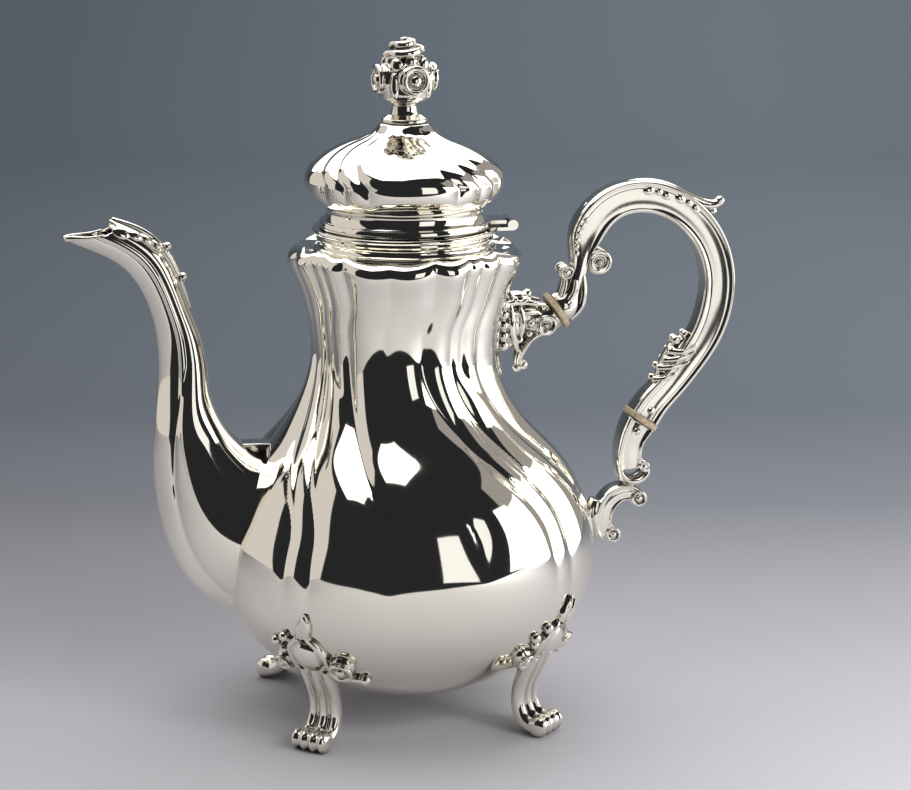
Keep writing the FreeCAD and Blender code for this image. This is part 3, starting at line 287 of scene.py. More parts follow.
# Lower socket: the J-scroll and the C-scroll as bordered bands, then a plain bar inside each
LOWER_BANDS = [
    [(93.08, 108.88, 6, 6), (90.6, 104.6, 5.4, 5.8), (89, 99.6, 5, 5.4), (88.7, 94.6, 4.9, 5.2),
     (88.9, 90.6, 3.8, 5)],
    [(82.4, 63.4, 2.2, 4.2), (79.4, 65.6, 3, 4.4), (78.6, 70.6, 3.4, 4.7), (80.2, 76.4, 3.5, 4.8),
     (84.4, 80.4, 3.4, 4.8), (89, 81, 3, 4.6), (92.8, 79.4, 2.2, 4.3)],
]
LOWER_BARS = [
    [(84.8, 96.6, 1.2, 4.6), (84.9, 91.6, 1.6, 4.9), (86.6, 87.4, 1.9, 5.2), (90.4, 85.5, 2, 5.3),
     (94.2, 86.6, 2, 5.2), (96.2, 89.6, 1.9, 5), (95.4, 92.4, 1.5, 4.6)],
    [(76.2, 64.4, 2.2, 3.6), (75.4, 68.6, 3.2, 4.4), (75.2, 73.4, 3.4, 4.6), (76.4, 78.4, 2.4, 3.8)],
]
LOWER_VOLUTES = [
    (94.6, 1.6, 91.4, 2.2, 3.4, 0, 1, 0.42), (92.6, 1.6, 78.6, 3.3, 3.4, 90, -1.1, 0.42),
    (82.4, 1.6, 64.6, 3.1, 3.4, 270, 1.1, 0.42),
]

# Insulator places and axes, each x, z, for the pins, and the pins' y and share of their radius
UPPER_INSULATOR = (59.2, 154.3, 0.824, 0.566)
LOWER_INSULATOR = (93.8, 109.9, 0.576, 0.818)
PIN_DISTANCE = 4.8
PIN_RADIUS = 0.8
PIN_ENDS = [(-6.3, 0.5), (-6, 1), (0, 1), (6, 1), (6.3, 0.5)]

# Feet: leg line as radius, height, half thickness, half width
FOOT_ANGLES = {
    "foot_front_spout": -135, "foot_front_handle": -45,
    "foot_rear_handle": 45, "foot_rear_spout": 135,
}
LEG_LINE = [
    (60.4, 32, 2.4, 7.4), (57.4, 25.6, 2.4, 7.2), (54.8, 19, 2.2, 7), (54.2, 12, 2.2, 7.2),
    (56.6, 6.2, 2.3, 7.6), (62, 3.3, 2.4, 7.8),
]
LEG_CORE_THICKNESS = 0.45
LEG_CORE_WIDTH = 0.9
LEG_STRAND_PLACE = 0.68
LEG_STRAND_WIDTH = 0.27
LEG_STRAND_RISE = 0.7
LEG_SIDE_DROP = 0.2
TOE_RADIUS = 4.4
TOE_CENTRE = (63.6, 4)
TOE_LOBES = 4
TOE_LOBE_PITCH = 3.9
TOE_LOBE_HALF_WIDTH = 2.1
TOE_LOBE_DROP = 0.25
TOE_CORE_RADIUS = 3.3
TOE_CORE_HALF_WIDTH = 6.8
# The boss over the leg and what lies round it are placed by distance across the belly and height
BOSS_PLACE = (-0.6, 37.6)
BOSS_RADII = (6.4, 7.6, 4.2)
# An arm on each side of the boss, the root of the leg, two halves of a pointed leaf and its rib: lift, then
# distance across, height, half thickness, half width
FOOT_BARS = [
    (0.6, [(2.4, 46, 1.4, 1.4), (6.4, 42, 2, 1.5), (7.6, 36.6, 2.3, 1.6), (8.6, 31.6, 2.4, 1.8),
           (13, 29.8, 2.2, 1.9), (18.6, 29.4, 1.5, 1.2)]),
    (0.6, [(-1.6, 45.6, 1.4, 1.4), (-6, 42, 2, 1.5), (-7.4, 36.6, 2.3, 1.6), (-8, 31.6, 2.3, 1.8),
           (-11.6, 30.4, 2, 1.7), (-14.6, 32.2, 1.6, 1.3)]),
    (0, [(0, 25.6, 2.6, 5.4), (0, 30, 2.8, 6.4), (0, 34, 2, 6)]),
    (0, [(-0.5, 46.2, 2.1, 1.6), (-0.2, 49.4, 2.2, 1.7), (1.4, 52.8, 1.7, 1.2), (3.2, 55.6, 1, 0.6)]),
    (0, [(2.1, 46.2, 2.1, 1.6), (3.4, 49.4, 2.2, 1.7), (3.8, 52.8, 1.7, 1.2), (3.2, 55.6, 1, 0.6)]),
    (1.9, [(1, 46.8, 1.3, 0.6), (1.9, 50.2, 1.3, 0.6), (3, 54.8, 0.9, 0.4)]),
]
FOOT_VOLUTES = [(12.6, 34.8, 5.2, 3.8, 200, 1.1, 0.42), (-13.2, 34, 4, 3.8, 340, -1.1, 0.42)]
FOOT_BEADS = [(-8.2, 45.2, 2.1), (-13.4, 42.4, 2.1), (-11.2, 39, 1.8), (18.8, 29.4, 2.3)]
FOOT_BEAD_LIFT = 0.9


def rise(value, low, high):
    """Smooth step from 0 at a low value to 1 at a high one."""
    share = np.clip((value - low) / (high - low), 0.0, 1.0)
    return share * share * (3.0 - 2.0 * share)


def crease(arc, width, valley):
    """Depth of a flute at a distance along the wall: 1 in its rounded valley, 0 far away."""
    return np.exp((valley - np.sqrt(valley ** 2 + arc ** 2)) / width)


def angle_between(first, second):
    """Signed difference of two angles in degrees, from -180 to 180."""
    return (first - second + 180.0) % 360.0 - 180.0


def unit(vectors):
    """Vectors scaled to length one."""
    return vectors / np.linalg.norm(vectors, axis=-1, keepdims=True)


def smooth_line(points, count, places=2):
    """Even samples of a smooth curve through points, spaced by their first columns, the places."""
    points = np.asarray(points, float)
    steps = np.linalg.norm(np.diff(points[:, :places], axis=0), axis=1)
    slopes = np.diff(points, axis=0) / steps[:, None]
    station = np.concatenate([[0.0], np.cumsum(steps)])
    size = len(points)
    matrix = np.eye(size)
    target = np.zeros_like(points)
    for i in range(1, size - 1):
        matrix[i, i - 1:i + 2] = steps[i - 1], 2.0 * (steps[i - 1] + steps[i]), steps[i]
        target[i] = 6.0 * (slopes[i] - slopes[i - 1])
    bend = np.linalg.solve(matrix, target)
    sample = np.linspace(0.0, station[-1], count)
    index = np.clip(np.searchsorted(station, sample, side="right") - 1, 0, size - 2)
    width = steps[index][:, None]
    ahead = (station[index + 1] - sample)[:, None]
    behind = (sample - station[index])[:, None]
    bent = (bend[index] * ahead ** 3 + bend[index + 1] * behind ** 3) / (6.0 * width)
    start = (points[index] / width - bend[index] * width / 6.0) * ahead
    end = (points[index + 1] / width - bend[index + 1] * width / 6.0) * behind
    return bent + start + end


def flute_depth(angle, radius, lines, width, valley):
    """Depth of flutes that repeat every quarter turn, each line with an angle and a strength."""
    squares = 0.0
    for line, strength in lines:
        for quarter in range(4):
            arc = np.radians(angle_between(angle, line + 90.0 * quarter)) * radius
            squares = squares + (strength * crease(arc, width, valley)) ** 2
    return np.sqrt(squares)


def body_flutes(angle, z, radius):
    """Depth of all body flutes at angles on one level of the wall."""
    turn = rise(z, FLUTE_TURN_TOP, FLUTE_TURN_BOTTOM)
    shift = FLUTE_RIM_SHIFT * rise(z, FLUTE_RIM_SHIFT_START, FLUTE_RIM_SHIFT_END)
    lines = []
    for start, sweep, low, high, strength in FLUTES:
        lines.append((start + sweep * turn + shift, strength * rise(z, low, high)))
    closing = rise(z, POINTED_FLUTE_TIP, POINTED_FLUTE_FULL)
    lines.append((lines[0][0] + (POINTED_FLUTE_ANGLE - FLUTES[0][0]) * closing, closing))
    return FLUTE_DEPTH * flute_depth(angle, radius, lines, FLUTE_WIDTH, FLUTE_VALLEY)


def lid_flutes(angle, z, radius):
    """Depth of all lid flutes at angles on one level of the dome."""
    turn = LID_FLUTE_TURN * max(0.0, z - LID_FLUTE_TURN_START) / (LID_DOME_TOP - LID_FLUTE_TURN_START)
    strength = rise(z, LID_FLUTE_BOTTOM, LID_FLUTE_FULL) * rise(z, LID_DOME_TOP, LID_FLUTE_TOP)
    lines = [(start + turn, 1.0) for start in LID_FLUTE_ANGLES]
    return LID_FLUTE_DEPTH * strength * flute_depth(angle, radius, lines, LID_FLUTE_WIDTH, LID_FLUTE_VALLEY)


def skin(rows, capped=True):
    """Vertices and faces of a skin through closed rows of points; fans close the ends of a capped one."""
    rows = np.asarray(rows, float)
    count, columns = rows.shape[:2]
    vertices = rows.reshape(-1, 3)
    row = np.arange(count - 1)[:, None] * columns
    column = np.arange(columns)
    following = (column + 1) % columns
    corners = (row + column, row + following, row + columns + following, row + columns + column)
    faces = np.stack(corners, axis=-1).reshape(-1, 4).tolist()
    if capped:
        last = (count - 1) * columns
        centre = len(vertices)
        vertices = np.vstack([vertices, rows[0].mean(axis=0), rows[-1].mean(axis=0)])
        faces += [[after, before, centre] for before, after in zip(column, following)]
        faces += [[last + before, last + after, centre + 1] for before, after in zip(column, following)]
    return vertices, faces


def new_object(name, vertices, faces):
    """Smooth shaded object in the scene."""
    mesh = bpy.data.meshes.new(name)
    mesh.from_pydata(vertices, [], faces)
    mesh.shade_smooth()
    made = bpy.data.objects.new(name, mesh)
    bpy.context.scene.collection.objects.link(made)
    return made


def mesh_object(name, piece, *nodes, body="pot", slot="cast_silver"):
    """Object from vertices in millimetres and faces, in the place of CAD nodes on a body."""
    vertices, faces = piece
    made = new_object(name, (np.asarray(vertices) * MM).tolist(), faces)
    sorter = bmesh.new()
    sorter.from_mesh(made.data)
    bmesh.ops.recalc_face_normals(sorter, faces=sorter.faces)
    sorter.to_mesh(made.data)
    sorter.free()
    made.data.materials.append(FINISHES[slot])
    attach(made, body)
    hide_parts(*nodes)


def ring(radius, z, columns):
    """Ring of points about the pot axis."""
    turn = np.arange(columns) * 2.0 * math.pi / columns
    return np.stack([radius * np.cos(turn), radius * np.sin(turn), np.full(columns, z)], axis=1)


def turned(outline):
    """Solid ring turned about the pot axis from a closed outline of (radius, z)."""
    return skin([ring(radius, z, columns=240) for radius, z in [*outline, outline[0]]], capped=False)


def spun(piece, angle):
    """Piece turned about the pot axis."""
    vertices, faces = piece
    x, y, z = vertices.T
    cosine = math.cos(math.radians(angle))
    sine = math.sin(math.radians(angle))
    return np.column_stack([x * cosine - y * sine, x * sine + y * cosine, z]), faces


def rim_lift(z):
    """How far the flutes raise the edge of the body, as a share of their depth."""
    return RIM_LIFT * rise(z, RIM_LIFT_START, RIM_LIFT_END)


def fluted_rows(levels, flutes, columns, lift=None):
    """Rows of points of an upright fluted vessel.

    Each level has the height and radius that set its flutes, the height and radius where it lies and the
    share of the flutes' depth that it takes. The lift, if any, says how far they raise a level.
    """
    angle = np.arange(columns) * 360.0 / columns
    rows = []
    for z, radius, place_z, place_r, share in levels:
        depth = share * flutes(angle, z, radius)
        if lift:
            place_z = place_z + depth * lift(z)
        rows.append(ring(place_r - depth, place_z, columns))
    return rows


def inside_levels(outline, wall, lowest, highest):
    """Levels down the inside of an outline, one wall inwards along its normals, between two heights."""
    downwards = outline[::4][::-1]
    slope = unit(np.gradient(downwards, axis=0))
    place_z = downwards[:, 0] - wall * slope[:, 1]
    place_r = downwards[:, 1] + wall * slope[:, 0]
    levels = [(z, r, pz, pr, 1.0) for (z, r), pz, pr in zip(downwards, place_z, place_r)]
    return [level for level in levels if lowest < level[2] < highest]


def curve(start, handle, end, steps):
    """Points of a curve from start to end that leans towards a handle."""
    share = np.linspace(0.0, 1.0, steps + 1)[:, None]
    return list((1 - share) ** 2 * start + 2 * share * (1 - share) * handle + share ** 2 * end)


def rounded(corners, size):
    """Closed outline with each corner rounded by a small curve."""
    corners = np.asarray(corners, float)
    made = []
    for before, corner, after in zip(np.roll(corners, 1, axis=0), corners, np.roll(corners, -1, axis=0)):
        ends = []
        for away in (before - corner, after - corner):
            length = np.linalg.norm(away)
            ends.append(corner + away / length * min(size, length * 0.4))
        made += curve(ends[0], corner, ends[1], 4)
    return np.array(made)


def arc_points(start, through, end):
    """Points of a curve from start to end that bulges through a middle point."""
    start, through, end = np.array((start, through, end))
    return curve(start, 2.0 * through - 0.5 * (start + end), end, 8)


# Materials
def set_inputs(tree, node, **settings):
    """Set inputs of a node, named with underscores for spaces, to values or to outputs of other nodes."""
    for name, value in settings.items():
        socket = node.inputs[name.replace("_", " ")]
        if isinstance(value, bpy.types.NodeSocket):
            tree.links.new(value, socket)
        else:
            socket.default_value = value


def add_node(tree, kind, **settings):
    """New shader node with some of its inputs set."""
    made = tree.nodes.new("ShaderNode" + kind)
    set_inputs(tree, made, **settings)
    return made


def ramp_colour(tree, share, stops):
    """Colour output of a ramp with a position and a colour for each stop."""
    ramp = add_node(tree, "ValToRGB", Fac=share)
    steps = ramp.color_ramp.elements
    while len(steps) < len(stops):
        steps.new(1.0)
    for step, (position, colour) in zip(steps, stops):
        step.position = position
        step.color = (*colour, 1.0)
    return ramp.outputs["Color"]


def new_material(name):
    """Material with its node tree and its surface shader."""
    material = bpy.data.materials.new(name)
    material.use_nodes = True
    return material, material.node_tree, material.node_tree.nodes["Principled BSDF"]


def silver(name, colour, roughness, tarnish_and_shade, openness):
    """Polished silver with hollows darkened as tarnish and painted shade, duller patches and faint waves.
    """
    material, tree, shader = new_material(name)
    place = add_node(tree, "TexCoord").outputs["Object"]
    # Tarnish and painted shade: the base colour darkens towards the dark colour where the occlusion node
    # finds hollows
    hollow_shade_mask = add_node(tree, "AmbientOcclusion", Distance=0.004)
    hollow_shade_mask.samples = 8
    dark = [share * (1.0 - tarnish_and_shade) for share in colour]
    film_and_shade = ramp_colour(tree, hollow_shade_mask.outputs["AO"], [(0.15, dark), (openness, colour)])
    patches = add_node(tree, "TexNoise", Vector=place, Scale=60.0, Detail=4.0)
    wear = add_node(tree, "MapRange", Value=patches.outputs["Fac"], To_Min=roughness * 0.7,
                    To_Max=roughness * 1.4)
    waves = add_node(tree, "TexNoise", Vector=place, Scale=90.0, Detail=1.0)
    bump = add_node(tree, "Bump", Height=waves.outputs["Fac"], Strength=0.12, Distance=0.0002)
    set_inputs(tree, shader, Metallic=1.0, Base_Color=film_and_shade, Roughness=wear.outputs["Result"],
               Normal=bump.outputs["Normal"])
    return material


def ivory(name, dark, light):
    """Aged ivory colour with faint grain."""
    material, tree, shader = new_material(name)
    place = add_node(tree, "TexCoord").outputs["Object"]
    grain = add_node(tree, "TexNoise", Vector=place, Scale=900.0, Detail=5.0)
    tone = ramp_colour(tree, grain.outputs["Fac"], [(0.3, dark), (0.7, light)])
    set_inputs(tree, shader, Base_Color=tone, Roughness=0.42)
    return material


# Finish of each material slot
FINISHES = {
    "silver": silver("polished_silver", (0.955, 0.92, 0.825), roughness=0.05, tarnish_and_shade=0.35, openness=0.75),
    "cast_silver": silver("cast_silver", (0.945, 0.905, 0.81), roughness=0.09, tarnish_and_shade=0.78, openness=0.93),
    "insulator": ivory("aged_ivory", dark=(0.30, 0.22, 0.14), light=(0.55, 0.45, 0.32)),
}

# Body shell: one closed skin, up the outside, over the flange and down the inside
outer_line = smooth_line(BODY_OUTLINE, count=240)
top_radius = outer_line[-1][1]
body_levels = [(BODY_BOTTOM, r, BODY_BOTTOM, r, 0.0) for r in BOTTOM_RINGS]
body_levels += [(z, r, z, r, 1.0) for z, r in outer_line]
for share in FLANGE_RINGS:
    radius = top_radius + (COLLAR_MOUTH_RADIUS - top_radius) * share
    body_levels.append((BODY_TOP, top_radius, BODY_TOP, radius, max(0.0, 1.0 - FLANGE_FLUTE_FADE * share)))
body_levels.append((BODY_TOP, top_radius, BODY_TOP - BODY_WALL, COLLAR_MOUTH_RADIUS, 0.0))
body_levels += inside_levels(outer_line, BODY_WALL, BODY_BOTTOM + BODY_WALL, BODY_TOP - BODY_WALL)
body_levels += [(BODY_BOTTOM, r, BODY_BOTTOM + BODY_WALL, r, 0.0) for r in FLOOR_RINGS]
body_piece = skin(fluted_rows(body_levels, body_flutes, columns=400, lift=rim_lift))
body_nodes = [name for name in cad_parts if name.startswith("body_")]
mesh_object("body_skin", body_piece, *body_nodes, slot="silver")

# Collar: a foot, a cove, a bead and a rounded lip
foot = BODY_TOP + SEAT_GAP
lip_bottom = COLLAR_TOP - COLLAR_LIP_HEIGHT
collar_line = [(COLLAR_MOUTH_RADIUS, foot), (COLLAR_FOOT_RADIUS, foot), (COLLAR_FOOT_RADIUS, foot + 0.7)]
collar_line += arc_points((COLLAR_FOOT_RADIUS - 0.1, foot + 0.9), (COLLAR_WAIST_RADIUS + 0.7, foot + 1.4),
                          (COLLAR_WAIST_RADIUS, foot + 2.6))
collar_line += arc_points((COLLAR_WAIST_RADIUS, foot + 3.1), (COLLAR_BEAD_RADIUS, foot + 4.1),
                          (COLLAR_WAIST_RADIUS, foot + 5.1))
collar_line += [(COLLAR_WAIST_RADIUS, lip_bottom - 0.3)]
collar_line += arc_points((COLLAR_LIP_RADIUS - 0.3, lip_bottom), (COLLAR_LIP_RADIUS, lip_bottom + 0.75),
                          (COLLAR_LIP_RADIUS - 0.4, COLLAR_TOP))
collar_line += [(COLLAR_MOUTH_RADIUS, COLLAR_TOP)]
mesh_object("neck_collar_ring", turned(rounded(collar_line, RING_EDGE)), "neck_collar", slot="silver")

# Lid dome, rim and bezel
dome_line = smooth_line(LID_OUTLINE, count=120)
under_top = LID_DOME_TOP - LID_WALL
waist_inside = LID_WAIST_RADIUS - LID_WALL
dome_levels = [(z, r, z, r, 1.0) for z, r in dome_line]
dome_levels += [(LID_DOME_TOP, r, LID_DOME_TOP, r, 0.0) for r in DOME_TOP_RINGS]
dome_levels += [(LID_DOME_TOP, r, under_top, r, 0.0) for r in DOME_UNDER_RINGS]
dome_levels += inside_levels(dome_line, LID_WALL, LID_DOME_BOTTOM + DOME_INSIDE_START, under_top)
for z in (LID_FLUTE_BOTTOM, LID_DOME_BOTTOM):
    dome_levels.append((LID_DOME_BOTTOM, waist_inside, z, waist_inside, 0.0))
dome_levels.append(dome_levels[0])
dome_piece = skin(fluted_rows(dome_levels, lid_flutes, columns=360), capped=False)
mesh_object("lid_dome_skin", dome_piece, "lid_dome", body="lid", slot="silver")
rim_bore = BEZEL_RADIUS + SEAT_GAP
rim_top = LID_BOTTOM + LID_RIM_HEIGHT
dome_seat = LID_DOME_BOTTOM - SEAT_GAP
rim_line = [(rim_bore, LID_BOTTOM), (LID_RIM_RADIUS - 0.3, LID_BOTTOM)]
rim_line += arc_points((LID_RIM_RADIUS - 0.2, LID_BOTTOM + 0.3), (LID_RIM_RADIUS, LID_BOTTOM + 1.3),
                       (LID_RIM_RADIUS - 0.4, rim_top))
rim_line += arc_points((LID_WAIST_RADIUS + 1.0, rim_top + 0.1),
                       (LID_WAIST_RADIUS - 0.1, (rim_top + dome_seat) / 2.0), (LID_WAIST_RADIUS, dome_seat))
rim_line += [(rim_bore, dome_seat)]
mesh_object("lid_rim_ring", turned(rounded(rim_line, RING_EDGE)), "lid_rim", body="lid", slot="silver")
bezel_inside = BEZEL_RADIUS - BEZEL_WALL
bezel_bottom = LID_BOTTOM - BEZEL_DEPTH
bezel_line = [(bezel_inside, bezel_bottom), (BEZEL_RADIUS, bezel_bottom),
              (BEZEL_RADIUS, dome_seat), (bezel_inside, dome_seat)]
bezel_piece = turned(rounded(bezel_line, BEZEL_EDGE))
mesh_object("lid_bezel_ring", bezel_piece, "lid_bezel", body="lid", slot="silver")


# Spout: outside and inside skins start where they meet the belly and join round the mouth
def spout_rows(inset):
    """Rows of points of the spout skin, all the way from inside the belly to the mouth."""
    sections = smooth_line(SPOUT_SECTIONS, SPOUT_SAMPLES, places=4)
    shares = np.linspace(0.0, 1.0, SPOUT_SAMPLES)
    angle = np.arange(SPOUT_COLUMNS) * 360.0 / SPOUT_COLUMNS
    turn = np.radians(angle)
    rows = []
    for share, (outer_x, outer_z, inner_x, inner_z, half_width) in zip(shares, sections):
        sharpness = rise(share, SPOUT_FRONT_START, SPOUT_FRONT_FULL)
        power = 2.0 + (SPOUT_FRONT_POWER - 2.0) * rise(np.cos(turn), 0.0, SPOUT_FRONT_SPREAD) * sharpness
        scale = (np.abs(np.cos(turn)) ** power + np.abs(np.sin(turn)) ** power) ** (-1.0 / power)
        for *places, fade_start, fade_end in SPOUT_FLUTES:
            line = np.interp(share, SPOUT_FLUTE_PLACES, places)
            strength = SPOUT_FLUTE_DEPTH * rise(share, fade_start, fade_end)
            for side in SIDES:
                away = np.radians(angle_between(angle, side * line))
                scale -= strength * crease(away, SPOUT_FLUTE_WIDTH, SPOUT_FLUTE_VALLEY)
        centre_x = (outer_x + inner_x) / 2.0
        centre_z = (outer_z + inner_z) / 2.0
        half_length = math.hypot(outer_x - inner_x, outer_z - inner_z) / 2.0
        along = (half_length - inset) * scale * np.cos(turn) / half_length
        x = centre_x + (outer_x - centre_x) * along
        z = centre_z + (outer_z - centre_z) * along
        y = (half_width - inset) * scale * np.sin(turn)
        rows.append(np.stack([x, y, z], axis=1))
    return np.array(rows)


def outside_belly(points, sink):
    """How far points lie outside the belly, less a small sink into its wall."""
    radius = np.hypot(points[..., 0], points[..., 1])
    angle = np.degrees(np.arctan2(points[..., 1], points[..., 0]))
    wall = np.interp(points[..., 2], outer_line[:, 0], outer_line[:, 1])
    return radius - wall + body_flutes(angle, points[..., 2], wall) + sink


def mouth_cut(angle):
    """How far the rim of the mouth is cut back at an angle from the tip of the lip."""
    away = abs(angle_between(angle, 0.0))
    return MOUTH_DIP * rise(away, 0.0, MOUTH_DIP_FRONT) * rise(away, MOUTH_DIP_END, MOUTH_DIP_BACK)


def trimmed(rows):
    """Rows of a spout skin that run from the belly to the mouth."""
    clear = outside_belly(rows, SPOUT_SINK) > 0.0
    columns = []
    for column in range(rows.shape[1]):
        inside = np.nonzero(~clear[:, column])[0]
        start = float(inside[-1]) if len(inside) else 0.0
        step = np.linalg.norm(rows[-1, column] - rows[-2, column])
        end = rows.shape[0] - 1.0 - mouth_cut(column * 360.0 / SPOUT_COLUMNS) / step
        place = np.linspace(start, end, SPOUT_ROWS)
        low = np.minimum(place.astype(int), rows.shape[0] - 2)
        share = (place - low)[:, None]
        columns.append(rows[low, column] * (1.0 - share) + rows[low + 1, column] * share)
    return np.stack(columns, axis=1)


spout_surface = spout_rows(0.0)
spout_out = trimmed(spout_surface)
spout_in = trimmed(spout_rows(SPOUT_WALL))
lip = (spout_out[-1] + spout_in[-1]) / 2.0 + (spout_out[-1] - spout_out[-2]) * LIP_REACH
spout_loop = np.concatenate([spout_out, lip[None], spout_in[::-1], spout_out[:1]])
mesh_object("spout_skin", skin(spout_loop, capped=False), "spout", slot="silver")


def on_spout(share, angle):
    """Place on the outside of the spout with its directions along, around and outward."""
    row = int(share * (SPOUT_SAMPLES - 1))
    column = int(round(angle / 360.0 * SPOUT_COLUMNS)) % SPOUT_COLUMNS
    place = spout_surface[row, column]
    along = unit(place - spout_surface[row - 2, column])
    around = spout_surface[row, (column + 1) % SPOUT_COLUMNS] - spout_surface[row, column - 1]
    outward = unit(np.cross(along, around))
    return place, along, np.cross(outward, along), outward


# Castings: overlapping closed pieces are merged into one softened skin
X_AXIS, Y_AXIS, Z_AXIS = np.eye(3)
ROUND = ring(1.0, 0.0, 24)[:, :2]


def bar(stations, outline=ROUND, ups=None, count=48):
    """Closed bar through (x, y, z, half height, half width); heights lie along ups or in the XZ plane."""
    columns = np.asarray(stations, float)[:, :5]
    if ups is not None:
        columns = np.hstack([columns, np.asarray(ups, float)])
    line = smooth_line(columns, count, places=3)
    along = unit(np.gradient(line[:, :3], axis=0))
    across = np.tile(Y_AXIS, (count, 1))
    if ups is not None:
        across = unit(np.cross(along, line[:, 5:8]))
    upward = unit(np.cross(across, along))
    outlines = np.broadcast_to(outline, (count,) + np.shape(outline)[-2:])
    rows = line[:, None, :3] + across[:, None] * outlines[:, :, :1] * line[:, None, 4:5]
    return skin(rows + upward[:, None] * outlines[:, :, 1:] * line[:, None, 3:4])


def flat_bar(line, outline=ROUND, count=48):
    """Bar on the middle plane through (x, z, half height, half width)."""
    return bar([(x, 0.0, z, height, width) for x, z, height, width in line], outline, None, count)


def ball(centre, radii, axes=(X_AXIS, Y_AXIS, Z_AXIS)):
    """Ball with one radius, or ellipsoid with three radii along its own axes."""
    rows, columns, pole = 18, 28, 0.04
    polar = np.linspace(pole, math.pi - pole, rows)[:, None, None]
    turn = (np.arange(columns) * 2.0 * math.pi / columns)[None, :, None]
    first, second, third = np.asarray(axes) * np.broadcast_to(radii, 3)[:, None]
    return skin(np.asarray(centre) + np.sin(polar) * (np.cos(turn) * first + np.sin(turn) * second)
                + np.cos(polar) * third)


def spiral(centre, first, second, start, outer, inner, turns, thick, thin):
    """Tapering tube that winds inwards in the plane of two directions, backwards if turns are negative."""
    share = np.linspace(0.0, 1.0, int(16 * abs(turns)) + 2)[:, None]
    turn = math.radians(start) + 2.0 * math.pi * turns * share
    reach = outer + (inner - outer) * share
    place = np.asarray(centre) + reach * (np.cos(turn) * first + np.sin(turn) * second)
    radius = thick + (thin - thick) * share
    outward = np.tile(np.cross(first, second), (len(share), 1))
    return bar(np.hstack([place, radius, radius]), ROUND, outward, int(40 * abs(turns)))


def volute(centre, first, second, radius, depth, start, turns, eye):
    """Rolled scroll: a low disc, a raised rim that winds inwards and a round eye."""
    outward = np.cross(first, second)
    axes = (first, second, outward)
    ridge = radius * 0.19
    face = np.asarray(centre) + outward * (depth - ridge * 0.5)
    rim_start, rim_end = radius * 0.83, radius * (eye + 0.3)
    return [ball(centre, (radius, radius, depth * 0.85), axes),
            spiral(face, first, second, start, rim_start, rim_end, turns, ridge, ridge * 0.8),
            ball(face, (radius * eye, radius * eye, ridge * 1.5), axes)]


def ornament(bars, balls, volutes, ribs=(), side_balls=()):
    """Pieces on the middle plane of a casting, then volutes, ribs and balls on both of its sides."""
    pieces = [flat_bar(line) for line in bars]
    pieces += [ball((x, 0.0, z), radii) for x, z, radii in balls]
    for side in SIDES:
        for x, y, z, *shape in volutes:
            pieces += volute((x, side * y, z), X_AXIS * -side, Z_AXIS, *shape)
        for line in ribs:
            stations = [(x, side * y, z, height, width) for x, y, z, height, width in line]
            pieces.append(bar(stations, ROUND, [Y_AXIS] * len(stations)))
        pieces += [ball((x, side * y, z), radii) for x, y, z, radii in side_balls]
    return pieces


def without_crumbs(points, quads, least=100):
    """Skin without islands of only a few points, such as pockets inside it."""
    island = np.arange(len(points))
    while True:
        lowest = island[quads].min(axis=1)
        spread = island.copy()
        np.minimum.at(spread, quads.ravel(), np.repeat(lowest, quads.shape[1]))
        spread = spread[spread]
        if np.array_equal(spread, island):
            break
        island = spread
    kept = np.bincount(island, minlength=len(points))[island] >= least
    number = np.cumsum(kept) - 1
    return points[kept], number[quads[kept[quads[:, 0]]]].tolist()


def cast(pieces, voxel, passes):
    """One closed skin round overlapping pieces, softened by a few passes."""
    vertices = []
    faces = []
    for points, polygons in pieces:
        faces += [[len(vertices) + corner for corner in polygon] for polygon in polygons]
        vertices += points.tolist()
    rough = new_object("rough_casting", vertices, faces)
    merge = rough.modifiers.new("merge", "REMESH")
    merge.mode = "VOXEL"
    merge.voxel_size = voxel
    soften = rough.modifiers.new("soften", "SMOOTH")
    soften.iterations = passes
    soften.factor = 0.5
    merged = rough.evaluated_get(bpy.context.evaluated_depsgraph_get()).to_mesh()
    points = np.empty(len(merged.vertices) * 3)
    merged.vertices.foreach_get("co", points)
    quads = np.array([list(polygon.vertices) for polygon in merged.polygons])
    bpy.data.meshes.remove(rough.data)
    return without_crumbs(points.reshape(-1, 3), quads)


def seated(piece, sink=0.3):
    """Piece whose points inside the body are brought out to just under its outer skin."""
    vertices, faces = piece
    depth = np.minimum(outside_belly(vertices, sink), 0.0)
    radius = np.hypot(vertices[:, 0], vertices[:, 1])
    stretch = (radius - depth) / np.maximum(radius, 1.0)
    return np.column_stack([vertices[:, 0] * stretch, vertices[:, 1] * stretch, vertices[:, 2]]), faces


# Finial knob: stepped core on a stem, four volutes, leaves between them and a curled bud on top
knob_line = smooth_line(KNOB_CORE, count=220)
knob_pieces = [skin([ring(max(radius, KNOB_LEAST_RADIUS), z, columns=64) for radius, z in knob_line])]
knob_volute = volute(KNOB_VOLUTE_PLACE, Y_AXIS, Z_AXIS, *KNOB_VOLUTE)
for quarter in range(4):
    angle = KNOB_VOLUTE_ANGLE + 90.0 * quarter
    knob_pieces += [spun(piece, angle) for piece in knob_volute]
    for turn, reach, z, *radii in KNOB_LOBES:
        knob_pieces.append(spun(ball((reach, 0.0, z), radii), angle + turn))
bud_line = []
for share in np.linspace(0.0, 1.0, num=25):
    turn = math.radians(BUD_START + 360.0 * BUD_TURNS * share)
    climb = math.radians(BUD_LOW + (BUD_HIGH - BUD_LOW) * share)
    thick = BUD_THICK + (BUD_THIN - BUD_THICK) * share
    reach = BUD_RADIUS * math.cos(climb)
    height = BUD_BOTTOM + BUD_RADIUS * math.sin(climb)
    bud_line.append((reach * math.cos(turn), reach * math.sin(turn), height, thick, thick))
knob_pieces.append(bar(bud_line, count=160))
knob_pieces.append(ball((0.0, 0.0, BUD_BOTTOM + BUD_RADIUS), BUD_TIP_RADIUS))
mesh_object("finial_casting", cast(knob_pieces, voxel=0.26, passes=2), "finial_knob", body="lid")

